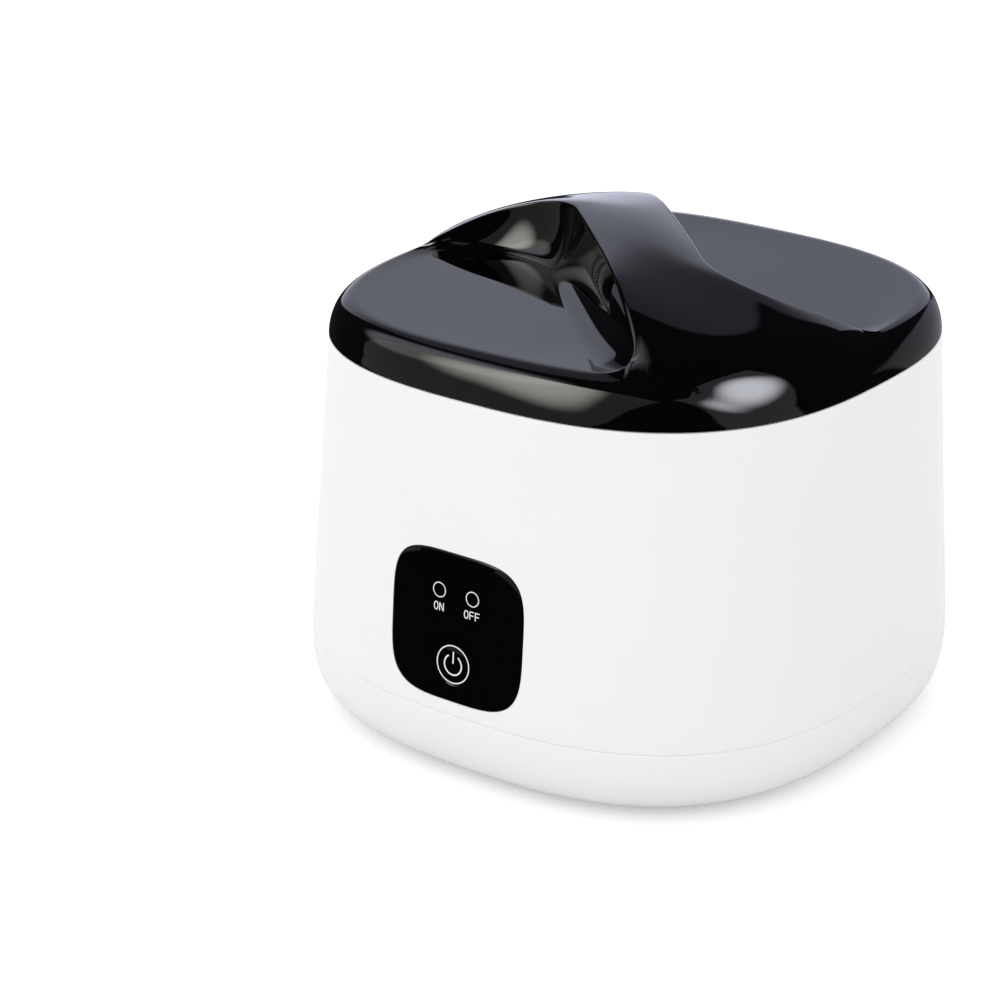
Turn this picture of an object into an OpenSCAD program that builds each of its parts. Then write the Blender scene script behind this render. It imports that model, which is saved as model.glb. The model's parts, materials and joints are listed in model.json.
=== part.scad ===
/* [Housing] */
// Width and depth of the housing at its widest ring
body_w = 162.8; // [156:0.1:200]
// Width and depth of the housing at the joint with the lid
top_w = 152.0; // [148:0.1:184]
// Height of the joint between the housing and the lid
joint_z = 106.3; // [98:0.1:130]
// Height of the widest ring above the table
wide_z = 24.2; // [23:0.1:30]
// How square the plan is: 2 is round, 4 is nearly a square
plan_n = 2.63; // [2.4:0.01:3.2]
// How far the underside rounds in below the widest ring
foot_round = 25.6; // [18:0.1:30]
// Height of the seam between the base tray and the housing
seam_z = 21.5; // [20:0.1:22.5]
// Height of the base tray's underside above the table
base_z = 1.0; // [0.8:0.1:1.6]
// Wall thickness of the housing and the base tray
wall = 2.6; // [2.2:0.1:3.2]

/* [Deck and bowl] */
// Drop from the joint down to the deck's top face
deck_drop = 6.9; // [6.5:0.1:10]
// Thickness of the deck
deck_t = 2.4; // [2:0.1:3]
// Outer radius of the fixed heating pan
pan_r = 58.5; // [50:0.5:59]
// Sheet thickness of the heating pan
pan_t = 1.2; // [0.8:0.1:1.6]
// Depth of the heating pan below its flange
pan_depth = 47.0; // [39:1:50]
// Width of the pan's flange
pan_flange = 7.5; // [6:0.1:8]
// Thickness of the seal under the pan's flange
seal_t = 0.8; // [0.6:0.1:1.2]
// Sheet thickness of the soaking bowl
bowl_t = 1.0; // [0.8:0.1:1.5]
// How much narrower the bowl's floor is than its mouth, on the radius
bowl_taper = 5.0; // [2:0.5:8]

/* [Lid] */
// Mean distance of the finger scoops' rim inside the joint
rim_inset = 8.4; // [6.5:0.1:12]
// How much further in the rim lies at a scoop's near end
rim_lean = 1.8; // [0:0.1:3]
// How square the scoops' rim is in plan
rim_n = 2.77; // [2.4:0.01:3.4]
// Height of the lid's rounded shoulder above the joint
shoulder_h = 11; // [10:0.1:16]
// Height of the bridge's edges above the shoulder
bridge_h = 15.4; // [10:0.1:20]
// How far the bridge's crown rises above its edges
bridge_arch = 2; // [1:0.1:5]
// Half width of the bridge that the hand grips
bridge_half = 12.6; // [10:0.1:16]
// Distance along the bridge from its middle to where it starts to flare
flare_start = 23; // [18:0.5:30]
// Radius of the flare at each foot of the bridge
flare_r = 23; // [18:0.5:26]
// How far a scoop's floor dips below its rim
scoop_dip = 0.8; // [0.4:0.1:3]
// Width of the curve between a scoop's floor and the bridge
scoop_fillet = 10; // [6:0.5:16]
// Wall thickness of the lid
lid_t = 2.2; // [1.8:0.1:2.8]

/* [Control panel] */
// Width of the panel window
panel_w = 41.9; // [38:0.1:46]
// Height of the panel window
panel_h = 40.5; // [38:0.1:44]
// Height of the window's lower edge above the seam
panel_rise = 3.95; // [3.9:0.05:12]
// Thickness of the window
window_t = 1.6; // [1.2:0.1:1.9]
// Radius of the power button
button_r = 5.5; // [4.5:0.1:5.9]
// Height of the power button below the window's centre
button_drop = 9.9; // [9:0.1:11.5]
// Travel of the power button
button_travel = 0.6; // [0.4:0.1:0.8]
// Radius of an indicator light pipe
light_r = 1.9; // [1.5:0.1:2.2]
// Height of the indicator lights above the window's centre
light_rise = 9.4; // [8:0.1:10]
// Distance of each indicator light from the window's middle
light_x = 5.3; // [4:0.1:8]

/* [Inside] */
// Radius of the heater disc under the pan
heater_r = 28; // [24:0.5:29]
// Distance of the corner posts from the middle, along X and Y
post_xy = 47; // [46.5:0.5:49]
// Outer radius of a corner post
post_r = 4.2; // [3.5:0.1:4.5]
// Radius of a self-tapping screw's shank
screw_r = 1.5; // [1.2:0.1:1.8]
// Radius of a rubber foot
foot_r = 8; // [7:0.5:9.5]
// Height of the power inlet at the back
inlet_z = 36; // [34:0.5:44]
// Radius of the power inlet's threaded barrel
inlet_r = 4; // [3.5:0.1:5]

/* [Hidden] */
$fn = 64;

fit = 0.2;             // clearance between pieces that are assembled
seat = 0.02;           // gap between pieces that only rest on each other
run_gap = 0.3;         // gap round a piece that moves
ring_pts = 72;         // points round the plan outline
half_w = body_w / 2;
half_top = top_w / 2;
foot_pow = 3.25;       // shape of the rounding into the underside
deck_z = joint_z - deck_drop;
panel_z = seam_z + panel_rise + panel_h / 2;
flange_t = 1.6;
flange_z = deck_z + seal_t;
flange_top = flange_z + flange_t;
pan_floor = flange_z - pan_depth;
hole_r = screw_r + 0.05;

// ---------- shared maths ----------
function mix(a, b, t) = a + (b - a) * t;
function clamp01(x) = min(1, max(0, x));
function ease(x) = let (c = clamp01(x)) c * c * (3 - 2 * c);
function squircle_r(a, n, th) = a / pow(pow(abs(cos(th)), n) + pow(abs(sin(th)), n), 1 / n);
function squircle_rho(p, n) = pow(pow(abs(p.x), n) + pow(abs(p.y), n), 1 / n);
function squircle(a, n = plan_n, pts = ring_pts) = [
    for (k = [0:pts - 1]) let (th = 360 * k / pts, r = squircle_r(a, n, th)) [r * cos(th), r * sin(th)]
];
function ring(a, z, n = plan_n) = [for (p = squircle(a, n)) [p.x, p.y, z]];
function turned(p) = [-p.x, -p.y, p.z];

// Half width of the body's outer face at height z.
function body_half(z) =
    z >= wide_z
        ? mix(half_w, half_top, (z - wide_z) / (joint_z - wide_z))
        : half_w - foot_round * (1 - pow(1 - pow((wide_z - z) / wide_z, foot_pow), 1 / foot_pow));
wall_tilt = atan((half_w - half_top) / (joint_z - wide_z));

// ---------- shared solids ----------
function grid_faces(rows, cols, start, flip) = [
    for (i = [0:rows - 2], j = [0:cols - 2])
        let (a = start + i * cols + j, b = a + 1, c = a + cols + 1, d = a + cols)
            each flip ? [[a, c, b], [a, d, c]] : [[a, b, c], [a, c, d]]
];

// A solid whose skin is made of point grids: each patch is [grid, flip].
module patch_solid(patches) {
    starts = [
        for (k = 0, n = 0; k < len(patches); n = n + len(patches[k][0]) * len(patches[k][0][0]), k = k + 1) n
    ];
    points = [for (p = patches) each [for (row = p[0]) each row]];
    faces = [
        for (k = [0:len(patches) - 1])
            for (f = grid_faces(len(patches[k][0]), len(patches[k][0][0]), starts[k], patches[k][1]))
                if (points[f[0]] != points[f[1]] && points[f[1]] != points[f[2]] && points[f[2]] != points[f[0]]) f
    ];
    polyhedron(points = points, faces = faces, convexity = 8);
}

// A solid that runs through a stack of rings and is closed by its first and last ring.
module ring_stack(rings) {
    n = len(rings[0]);
    polyhedron(
        points = [for (r = rings) each r],
        faces = concat(
            [[for (k = [0:n - 1]) k]],
            [
                for (i = [0:len(rings) - 2], k = [0:n - 1])
                    let (a = i * n + k, b = i * n + (k + 1) % n)
                        each [[a, a + n, b + n], [a, b + n, b]]
            ],
            [[for (k = [n - 1:-1:0]) (len(rings) - 1) * n + k]]
        ),
        convexity = 6
    );
}

// A flat plate with the body's plan outline.
module plate(half, z, t) {
    translate([0, 0, z]) linear_extrude(t) polygon(squircle(half));
}

module tube(r_out, r_in, z, h) {
    translate([0, 0, z]) difference() {
        cylinder(r = r_out, h = h);
        translate([0, 0, -1]) cylinder(r = r_in, h = h + 2);
    }
}

module at_corners(d) {
    for (x = [-d, d], y = [-d, d]) translate([x, y, 0]) children();
}

// A pan-head screw that points along +Z, with the underside of its head at z = 0.
module screw_up(length, head_r = 2.8, head_h = 2, r = screw_r) {
    rotate([180, 0, 0]) screw_down(length, head_r, head_h, r);
}

module screw_down(length, head_r = 2.8, head_h = 2, r = screw_r) {
    difference() {
        union() {
            cylinder(r = head_r, h = head_h);
            translate([0, 0, -length]) cylinder(r = r, h = length + 0.1);
        }
        for (a = [0, 90])
            translate([0, 0, head_h - 0.5]) rotate([0, 0, a]) cube([head_r * 1.2, 0.7, 1.4], center = true);
    }
}

// Local frame on the outer wall: X along the wall, Y up the wall, Z straight out of it.
module on_front(z) {
    translate([0, -body_half(z), z]) rotate([90 - wall_tilt, 0, 0]) children();
}

module on_back(z) {
    rotate([0, 0, 180]) on_front(z) children();
}

// A round lead that sweeps a circle along a smooth curve through a few points.
lead_sides = 8;
lead_steps = 4;
function curve_at(p0, p1, p2, p3, t) =
    0.5 * ((2 * p1) + (p2 - p0) * t + (2 * p0 - 5 * p1 + 4 * p2 - p3) * t * t
        + (3 * p1 - p0 - 3 * p2 + p3) * t * t * t);
function curve(p) = concat(
    [
        for (i = [0:len(p) - 2], s = [0:lead_steps - 1])
            curve_at(p[max(0, i - 1)], p[i], p[i + 1], p[min(len(p) - 1, i + 2)], s / lead_steps)
    ],
    [p[len(p) - 1]]
);
function unit(v) = v / norm(v);
function side_axis(dir, up) = unit(cross(dir, up));
module lead(p, r, up = [0.2, 0.1, 1]) {
    c = curve(p);
    last = len(c) - 1;
    rings = [
        for (i = [0:last])
            let (
                dir = unit(c[min(last, i + 1)] - c[max(0, i - 1)]),
                sx = side_axis(dir, up),
                sy = cross(dir, sx)
            )
                [for (k = [0:lead_sides - 1]) let (a = 360 * k / lead_sides) c[i] + r * (cos(a) * sx + sin(a) * sy)]
    ];
    ring_stack(rings);
}

// A closed wall that runs through rings up its outer face and down its inner face.
module ring_loop(rings) {
    n = len(rings[0]);
    m = len(rings);
    polyhedron(
        points = [for (r = rings) each r],
        faces = [
            for (i = [0:m - 1], k = [0:n - 1])
                let (a = i * n + k, b = i * n + (k + 1) % n, c = ((i + 1) % m) * n + k, d = ((i + 1) % m) * n + (k + 1) % n)
                    each [[a, c, d], [a, d, b]]
        ],
        convexity = 6
    );
}

// ---------- housing ----------
post_bottom = seam_z + seat;
post_top = deck_z - deck_t - seat;
lip_h = 3;             // height of the base tray's lip inside the housing
lip_t = 1.6;
rib_t = 1.8;
screw_bite = 12;       // depth of a pilot hole in a corner post

module corner_ribs() {
    r_post = post_xy * sqrt(2);
    reach = sqrt(2) / pow(2, 1 / plan_n);
    rib_z = seam_z + lip_h + 0.5;
    low = (body_half(rib_z) - wall * 0.5) * reach;
    high = (body_half(post_top) - wall * 0.5) * reach;
    for (a = [45:90:315]) rotate([0, 0, a]) translate([0, rib_t / 2, 0]) rotate([90, 0, 0])
        linear_extrude(rib_t) polygon([[r_post, rib_z], [low, rib_z], [high, post_top], [r_post, post_top]]);
}

module housing_wall() {
    levels = [seam_z, wide_z, mix(wide_z, joint_z, 0.33), mix(wide_z, joint_z, 0.66), joint_z];
    ring_loop(concat(
        [for (z = levels) ring(body_half(z), z)],
        [for (k = [len(levels) - 1:-1:0]) ring(body_half(levels[k]) - wall, levels[k])]
    ));
}

module housing_shell() {
    color("white") difference() {
        union() {
            housing_wall();
            at_corners(post_xy) translate([0, 0, post_bottom]) cylinder(r = post_r, h = post_top - post_bottom);
            corner_ribs();
            on_front(panel_z) panel_frame();
        }
        at_corners(post_xy) {
            translate([0, 0, post_bottom - 1]) cylinder(r = hole_r, h = screw_bite + 1);
            translate([0, 0, post_top - screw_bite]) cylinder(r = hole_r, h = screw_bite + 1);
        }
        on_front(panel_z) panel_pocket();
        on_back(inlet_z) {
            translate([0, 0, -wall * 3]) cylinder(r = inlet_r + fit / 2, h = wall * 5);
            translate([0, 0, -inlet_sunk]) cylinder(r = inlet_flange_r + fit / 2, h = wall * 2);
        }
    }
}

// ---------- base tray ----------
floor_z = base_z + wall;
boss_r = 5;
head_well_r = 3.3;
head_well_z = 7;       // underside of the corner screws' heads
foot_sunk = 1.1;       // how deep a rubber foot sits in the tray
board_z = 12;          // underside of the control board
board_size = [62, 44, 1.6];
board_y = 10;
board_hole = [27, 18];

module at_board_holes() {
    for (x = [-1, 1], y = [-1, 1])
        translate([x * board_hole.x, board_y + y * board_hole.y, 0]) children();
}

module tray_wall() {
    lip_out = body_half(seam_z) - wall - fit;
    lip_in = lip_out - lip_t;
    outer = [base_z, 1.8, 3, 4.8, 7.5, 11, 16, seam_z];
    inner = [seam_z - 4, 14, 10, 7.5, 5.5, floor_z];
    ring_stack(concat(
        [for (z = outer) ring(body_half(z), z)],
        [ring(lip_out, seam_z), ring(lip_out, seam_z + lip_h), ring(lip_in, seam_z + lip_h), ring(lip_in, seam_z - 1.5)],
        [for (z = inner) ring(body_half(z) - wall - (z < 6 ? 2 : 0), z)]
    ));
}

module base_tray() {
    color("white") difference() {
        union() {
            tray_wall();
            at_corners(post_xy) translate([0, 0, base_z]) cylinder(r = boss_r, h = seam_z - base_z);
            at_board_holes() translate([0, 0, floor_z - 1]) cylinder(r = 3, h = board_z - floor_z + 1 - seat);
        }
        at_corners(post_xy) {
            translate([0, 0, -1]) cylinder(r = foot_r + fit, h = base_z + foot_sunk + 1);
            translate([0, 0, -1]) cylinder(r = head_well_r, h = head_well_z + 1);
            translate([0, 0, -1]) cylinder(r = hole_r, h = seam_z + 2);
        }
        at_board_holes() translate([0, 0, board_z - 6]) cylinder(r = hole_r, h = 8);
    }
}

module rubber_feet() {
    color([0.15, 0.15, 0.16]) at_corners(post_xy) cylinder(r = foot_r, h = base_z + foot_sunk - seat);
}

module base_screws() {
    color("silver") at_corners(post_xy) translate([0, 0, head_well_z - seat])
        screw_up(seam_z - head_well_z + screw_bite - 2);
}

// ---------- deck, pan and bowl ----------
deck_boss_r = 3;
deck_boss_h = 8;
pan_screw_ring = pan_r + 4.2;
flush_head = 0.8;

module at_pan_screws() {
    for (a = [0, 120, 240]) rotate([0, 0, a + 90]) translate([pan_screw_ring, 0, 0]) children();
}

module top_deck() {
    color("white") difference() {
        union() {
            plate(body_half(deck_z) - wall - fit, deck_z - deck_t, deck_t);
            at_pan_screws() translate([0, 0, deck_z - deck_boss_h]) cylinder(r = deck_boss_r, h = deck_boss_h);
        }
        translate([0, 0, deck_z - deck_boss_h - 1]) cylinder(r = pan_r + 0.5, h = deck_boss_h + 3);
        at_corners(post_xy) {
            translate([0, 0, deck_z - 1.65]) cylinder(r = 3, h = 3);
            translate([0, 0, deck_z - deck_t - 1]) cylinder(r = hole_r, h = deck_t + 2);
        }
        at_pan_screws() translate([0, 0, deck_z - deck_boss_h + 1]) cylinder(r = hole_r, h = deck_boss_h + 1);
    }
}

module deck_screws() {
    color("silver") at_corners(post_xy) translate([0, 0, deck_z - 1.65 + seat]) screw_down(10, 2.8, 1.6);
}

// Half outline of a round cup with a rounded floor, for turning about the axis.
function cup_outline(r_top, r_floor, z_low, z_high, bend) = concat(
    [[0, z_low]],
    [for (a = [0:10:90]) [r_floor - bend + bend * sin(a), z_low + bend - bend * cos(a)]],
    [[r_top, z_high], [0, z_high]]
);

module cup(r_top, r_floor, z_low, z_high, bend, t) {
    difference() {
        rotate_extrude($fn = 96) polygon(cup_outline(r_top, r_floor, z_low, z_high, bend));
        rotate_extrude($fn = 96) polygon(cup_outline(r_top - t, r_floor - t, z_low + t, z_high + 1, bend - t));
    }
}

pan_bend = 8;
clamp_ring = heater_r + 5;
heater_t = 5;
heater_tab = 5;        // length of the heater's two terminals, and where they stick out
heater_tab_y = 4;
heater_tab_angle = 45;
pad_t = 2;
clamp_t = 1.5;
clamp_z = pan_floor - heater_t - pad_t - clamp_t - 3 * seat;
module at_clamp() {
    for (a = [90, 210, 330]) rotate([0, 0, a]) translate([clamp_ring, 0, 0]) children();
}

module heating_pan() {
    color("silver") difference() {
        union() {
            cup(pan_r, pan_r, pan_floor, flange_top, pan_bend, pan_t);
            difference() {
                translate([0, 0, flange_z]) cylinder(r = pan_r + pan_flange, h = flange_t);
                translate([0, 0, flange_z - 1]) cylinder(r = pan_r - pan_t, h = flange_t + 2);
            }
            at_clamp() translate([0, 0, clamp_z + clamp_t + seat])
                cylinder(r = 3, h = pan_floor + pan_t / 2 - clamp_z - clamp_t - seat);
        }
        at_pan_screws() {
            translate([0, 0, flange_top - flush_head - seat]) cylinder(r = 2.5, h = 2);
            translate([0, 0, flange_z - 1]) cylinder(r = hole_r, h = flange_t + 2);
        }
        at_clamp() translate([0, 0, clamp_z]) cylinder(r = hole_r, h = 7);
    }
}

module pan_seal() {
    color([0.8, 0.35, 0.2]) difference() {
        tube(pan_r + pan_flange - 0.6, pan_r + 1.2, deck_z + seat, seal_t - 2 * seat);
        at_pan_screws() translate([0, 0, deck_z - 1]) cylinder(r = hole_r, h = 3);
    }
}

module pan_screws() {
    color("silver") at_pan_screws() translate([0, 0, flange_top - flush_head]) screw_down(7.5, 2.4, flush_head);
}

bowl_gap = 0.6;        // gap between the bowl and the pan
bowl_r = pan_r - pan_t - bowl_gap;
bowl_floor = pan_floor + pan_t + run_gap;
bowl_rim_z = flange_top + 0.1;
bowl_rim_r = pan_r + pan_flange + 1.2;
roll_r = 0.9;
module soak_bowl() {
    color([0.8, 0.81, 0.83]) union() {
        cup(bowl_r, bowl_r - bowl_taper, bowl_floor, bowl_rim_z + bowl_t, pan_bend + 2, bowl_t);
        difference() {
            translate([0, 0, bowl_rim_z]) cylinder(r = bowl_rim_r, h = bowl_t, $fn = 96);
            translate([0, 0, bowl_rim_z - 1]) cylinder(r = bowl_r - bowl_t / 2, h = bowl_t + 2, $fn = 96);
        }
        rotate_extrude($fn = 96) translate([bowl_rim_r, bowl_rim_z + bowl_t - roll_r]) circle(r = roll_r, $fn = 32);
    }
}

// ---------- heater stack ----------
module heater_plate() {
    color([0.85, 0.83, 0.75]) union() {
        translate([0, 0, pan_floor - heater_t - seat]) cylinder(r = heater_r, h = heater_t);
        rotate([0, 0, heater_tab_angle]) for (y = [-heater_tab_y, heater_tab_y])
            translate([heater_r - 1, y - 1.5, pan_floor - heater_t]) cube([heater_tab, 3, 0.8]);
    }
}

module heat_pad() {
    color([0.9, 0.88, 0.8]) translate([0, 0, pan_floor - heater_t - pad_t - 2 * seat]) cylinder(r = heater_r - 1, h = pad_t);
}

module heater_clamp() {
    color("silver") difference() {
        union() {
            translate([0, 0, clamp_z]) cylinder(r = heater_r - 1, h = clamp_t);
            for (a = [90, 210, 330]) rotate([0, 0, a]) {
                translate([clamp_ring - 12, -4, clamp_z]) cube([12, 8, clamp_t]);
                translate([clamp_ring, 0, clamp_z]) cylinder(r = 4, h = clamp_t);
            }
        }
        at_clamp() translate([0, 0, clamp_z - 1]) cylinder(r = hole_r, h = clamp_t + 2);
        translate([0, 0, clamp_z - 1]) cylinder(r = 8, h = clamp_t + 2);
    }
}

module clamp_screws() {
    color("silver") at_clamp() translate([0, 0, clamp_z - seat]) screw_up(6);
}

sleeve_t = 2.9;
module insulation_sleeve() {
    color([0.75, 0.74, 0.7]) tube(pan_r + 0.25 + sleeve_t, pan_r + 0.25, pan_floor + 2, deck_z - deck_boss_h - 2 - pan_floor - 2);
}

sensor_r = 41;         // distance of the thermostat and the sensor from the middle
module thermostat() {
    color([0.2, 0.2, 0.22]) translate([sensor_r, 0, pan_floor - seat]) union() {
        translate([0, 0, -3]) cylinder(r = 8, h = 3);
        translate([0, 0, -7]) cylinder(r = 6.2, h = 4.5);
        for (x = [-3.5, 3.5]) translate([x - 0.4, -1.6, -13]) cube([0.8, 3.2, 6.5]);
    }
}

fuse_r = 2;
fuse_y = -41;
module thermal_fuse() {
    color("silver") translate([0, fuse_y, pan_floor - fuse_r - seat]) rotate([0, 90, 0]) union() {
        cylinder(r = fuse_r, h = 11, center = true);
        cylinder(r = 0.5, h = 24, center = true);
    }
}

module fuse_clip() {
    color([0.7, 0.7, 0.72]) difference() {
        translate([-2.5, fuse_y - 4, pan_floor - 2 * fuse_r - 0.8]) cube([5, 8, 2 * fuse_r + 0.8 - seat]);
        translate([0, fuse_y, pan_floor - fuse_r - seat]) rotate([0, 90, 0]) cylinder(r = fuse_r + 0.04, h = 8, center = true);
        translate([-3, fuse_y - fuse_r - 0.04, pan_floor - fuse_r]) cube([6, 2 * fuse_r + 0.08, fuse_r + 1]);
    }
}

module temperature_sensor() {
    color([0.75, 0.7, 0.4]) translate([-sensor_r, 0, pan_floor - seat]) union() {
        translate([0, 0, -2]) cylinder(r = 5, h = 2, $fn = 6);
        translate([0, 0, -9]) cylinder(r = 3, h = 7.5);
    }
}

// ---------- control panel, in the wall's local frame ----------
panel_n = 4;           // how square the window is
proud = 0.15;          // how far the window stands out of the wall
tape_t = 0.3;
edge_gap = 0.12;       // gap round the window in its pocket
tape_w = 1.6;          // width of the adhesive ring
frame_rim = 2.9;       // how far the inner frame reaches past the window
frame_depth = 4.2;
board_front = -8;      // front face of the panel board
board_t = 1.6;
panel_post = [panel_w / 2 + 0.6, 9];
panel_board_size = [panel_w + 6.4, 35];
button_gap = 0.2;      // gap round the button's cap
switch_face = -4.5;    // front face of the button switch

function panel_outline(grow) = [
    for (k = [0:63])
        let (th = 360 * k / 64, r = squircle_r(1, panel_n, th))
            [(panel_w / 2 + grow) * r * cos(th), (panel_h / 2 + grow) * r * sin(th)]
];
panel_half = body_half(panel_z);
function wall_sag(x) = panel_half - pow(pow(panel_half, plan_n) - pow(abs(x), plan_n), 1 / plan_n);

// A slab between two depths under the wall's curved outer face.
module wall_slab(deep, shallow) {
    xs = [for (x = [-26:2:26]) x];
    rotate([90, 0, 0]) linear_extrude(60, center = true) polygon(concat(
        [for (x = xs) [x, shallow - wall_sag(x)]],
        [for (k = [len(xs) - 1:-1:0]) [xs[k], deep - wall_sag(xs[k])]]
    ));
}

module panel_slab(grow, deep, shallow) {
    intersection() {
        wall_slab(deep, shallow);
        translate([0, 0, -12]) linear_extrude(24) polygon(panel_outline(grow));
    }
}

module at_panel_posts() {
    for (x = [-1, 1], y = [-1, 1]) translate([x * panel_post.x, y * panel_post.y, 0]) children();
}

module panel_frame() {
    intersection() {
        panel_slab(frame_rim, -frame_depth, -wall / 2);
        translate([-40, -panel_h / 2 - 0.25, -12]) cube([80, 80, 24]);
    }
    at_panel_posts() translate([0, 0, board_front + seat]) cylinder(r = 2, h = -board_front - frame_depth + 0.5);
}

module panel_pocket() {
    panel_slab(edge_gap, proud - window_t - tape_t - 2 * seat, 6);
    translate([0, 0, -12]) linear_extrude(14) polygon(panel_outline(-tape_w));
    at_panel_posts() translate([0, 0, board_front - 1]) cylinder(r = 1.05, h = 5);
}

module panel_window() {
    color([0.02, 0.02, 0.02]) on_front(panel_z) difference() {
        panel_slab(0, proud - window_t, proud);
        translate([0, -button_drop, -6]) cylinder(r = button_r + button_gap, h = 12);
    }
}

module window_tape() {
    color([0.1, 0.1, 0.1]) on_front(panel_z) difference() {
        panel_slab(-0.2, proud - window_t - tape_t - seat, proud - window_t - seat);
        translate([0, 0, -12]) linear_extrude(24) polygon(panel_outline(-tape_w));
    }
}

button_back = proud - window_t - 0.15;
module power_button() {
    color([0.02, 0.02, 0.02]) on_front(panel_z) translate([0, -button_drop, 0]) union() {
        translate([0, 0, button_back - 0.1]) cylinder(r = button_r, h = proud - button_back + 0.1);
        translate([0, 0, button_back - 1.2]) cylinder(r = button_r + 0.7, h = 1.2);
        translate([0, 0, switch_face + 0.9 + seat]) cylinder(r = 1.6, h = button_back - 1 - switch_face - 0.9 - seat);
    }
}

module light_pipes() {
    color([0.9, 0.92, 0.95]) on_front(panel_z) translate([0, light_rise, 0]) union() {
        for (x = [-light_x, light_x]) translate([x, 0, -5.2]) cylinder(r = light_r, h = 5.2 + proud - window_t - 0.1);
        translate([-light_x, -1.5, -3.4]) cube([2 * light_x, 3, 1]);
    }
}

module indicator_leds() {
    color([0.85, 0.9, 0.8]) on_front(panel_z) for (x = [-light_x, light_x]) translate([x, light_rise, board_front + seat]) {
        cylinder(r = 1.7, h = 0.9);
        cylinder(r = 1.5, h = 2.4);
    }
}

plunger_r = 1.7;
module button_switch() {
    color([0.12, 0.12, 0.13]) on_front(panel_z) translate([0, -button_drop, 0]) difference() {
        translate([-3, -3, board_front + seat]) cube([6, 6, switch_face - board_front - seat]);
        translate([0, 0, switch_face - 2]) cylinder(r = plunger_r + 0.08, h = 3);
    }
}

module switch_plunger() {
    color([0.85, 0.85, 0.83]) on_front(panel_z) translate([0, -button_drop, switch_face - 1.3])
        cylinder(r = plunger_r, h = 2.2);
}

module panel_board() {
    color([0.1, 0.35, 0.2]) on_front(panel_z) difference() {
        translate([-panel_board_size.x / 2, -panel_board_size.y / 2, board_front - board_t])
            cube([panel_board_size.x, panel_board_size.y, board_t]);
        at_panel_posts() translate([0, 0, board_front - 3]) cylinder(r = 1.1, h = 5);
    }
}

module panel_board_screws() {
    color("silver") on_front(panel_z) at_panel_posts() translate([0, 0, board_front - board_t - seat])
        screw_up(4.5, 1.9, 1.3, 1);
}

// ---------- power inlet, in the back wall's local frame ----------
inlet_sunk = 1.2;      // how deep the inlet's flange sits in the wall
inlet_front = 0.2;
inlet_flange_r = inlet_r + 1.8;
inlet_depth = 11;
socket_r = 2.75;
pin_r = 1.05;
module dc_inlet() {
    color([0.08, 0.08, 0.09]) on_back(inlet_z) union() {
        difference() {
            union() {
                translate([0, 0, seat - inlet_sunk]) cylinder(r = inlet_flange_r, h = inlet_front + inlet_sunk - seat);
                translate([0, 0, -inlet_depth]) cylinder(r = inlet_r, h = inlet_depth - inlet_sunk / 2);
            }
            translate([0, 0, inlet_front - 9.5]) cylinder(r = socket_r, h = 12);
        }
        translate([0, 0, inlet_front - 10]) cylinder(r = pin_r, h = 9.2);
        for (x = [-1.6, 1.6]) translate([x - 0.5, -1, -inlet_depth - 3]) cube([1, 2, 3.5]);
    }
}

module inlet_nut() {
    color("silver") on_back(inlet_z) translate([0, 0, -wall - 2.4]) difference() {
        cylinder(r = inlet_r + 2.2, h = 2.2, $fn = 6);
        translate([0, 0, -1]) cylinder(r = inlet_r + 0.03, h = 5);
    }
}

// ---------- control board ----------
board_top = board_z + board_size.z;
jack_plug = [0, 26];   // places of the three connectors on the board
heater_plug = [20, -4];
panel_plug = [-18, -4];
plug_h = 6;
module control_board() {
    color([0.1, 0.35, 0.2]) difference() {
        translate([-board_size.x / 2, board_y - board_size.y / 2, board_z]) cube(board_size);
        at_board_holes() translate([0, 0, board_z - 1]) cylinder(r = hole_r, h = 4);
    }
}

module control_board_screws() {
    color("silver") at_board_holes() translate([0, 0, board_top + seat]) screw_down(6.5, 2.6, 1.8);
}

module board_connectors() {
    color([0.93, 0.92, 0.88]) for (p = [jack_plug, heater_plug, panel_plug])
        translate([p.x - 4, p.y - 2.5, board_top + seat]) difference() {
            cube([8, 5, plug_h]);
            translate([1, 1, plug_h - 1]) cube([6, 3, 2]);
        }
}

module board_capacitor() {
    color([0.15, 0.2, 0.45]) translate([-16, 16, board_top + seat]) union() {
        cylinder(r = 5, h = 12);
        translate([0, 0, 1]) cylinder(r = 5.2, h = 1);
    }
}

module board_heat_sink() {
    color([0.35, 0.36, 0.38]) translate([10, 10, board_top + seat]) union() {
        cube([14, 2, 14]);
        for (x = [0:3:12]) translate([x, 0, 0]) cube([1.4, 9, 14]);
    }
}

// ---------- leads ----------
lead_r = 1.0;
plug_top = board_top + seat + plug_h - 1 + 0.25;
inlet_y = body_half(inlet_z) - inlet_depth - 3.2;
module lead_pair(points, gap_start, gap_end) {
    last = len(points) - 1;
    for (s = [-1, 1])
        lead([for (k = [0:last]) points[k] + s * mix(gap_start, gap_end, k / last)], lead_r);
}

module inlet_leads() {
    color([0.7, 0.1, 0.1]) lead_pair([
        [0, inlet_y, inlet_z - 1], [0, inlet_y - 6, inlet_z - 2], [0, inlet_y - 20, inlet_z - 3],
        [0, jack_plug.y + 4, plug_top + 9], [0, jack_plug.y, plug_top + 4], [0, jack_plug.y, plug_top]
    ], [1.6, 0, 0], [1.6, 0, 0]);
}

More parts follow.
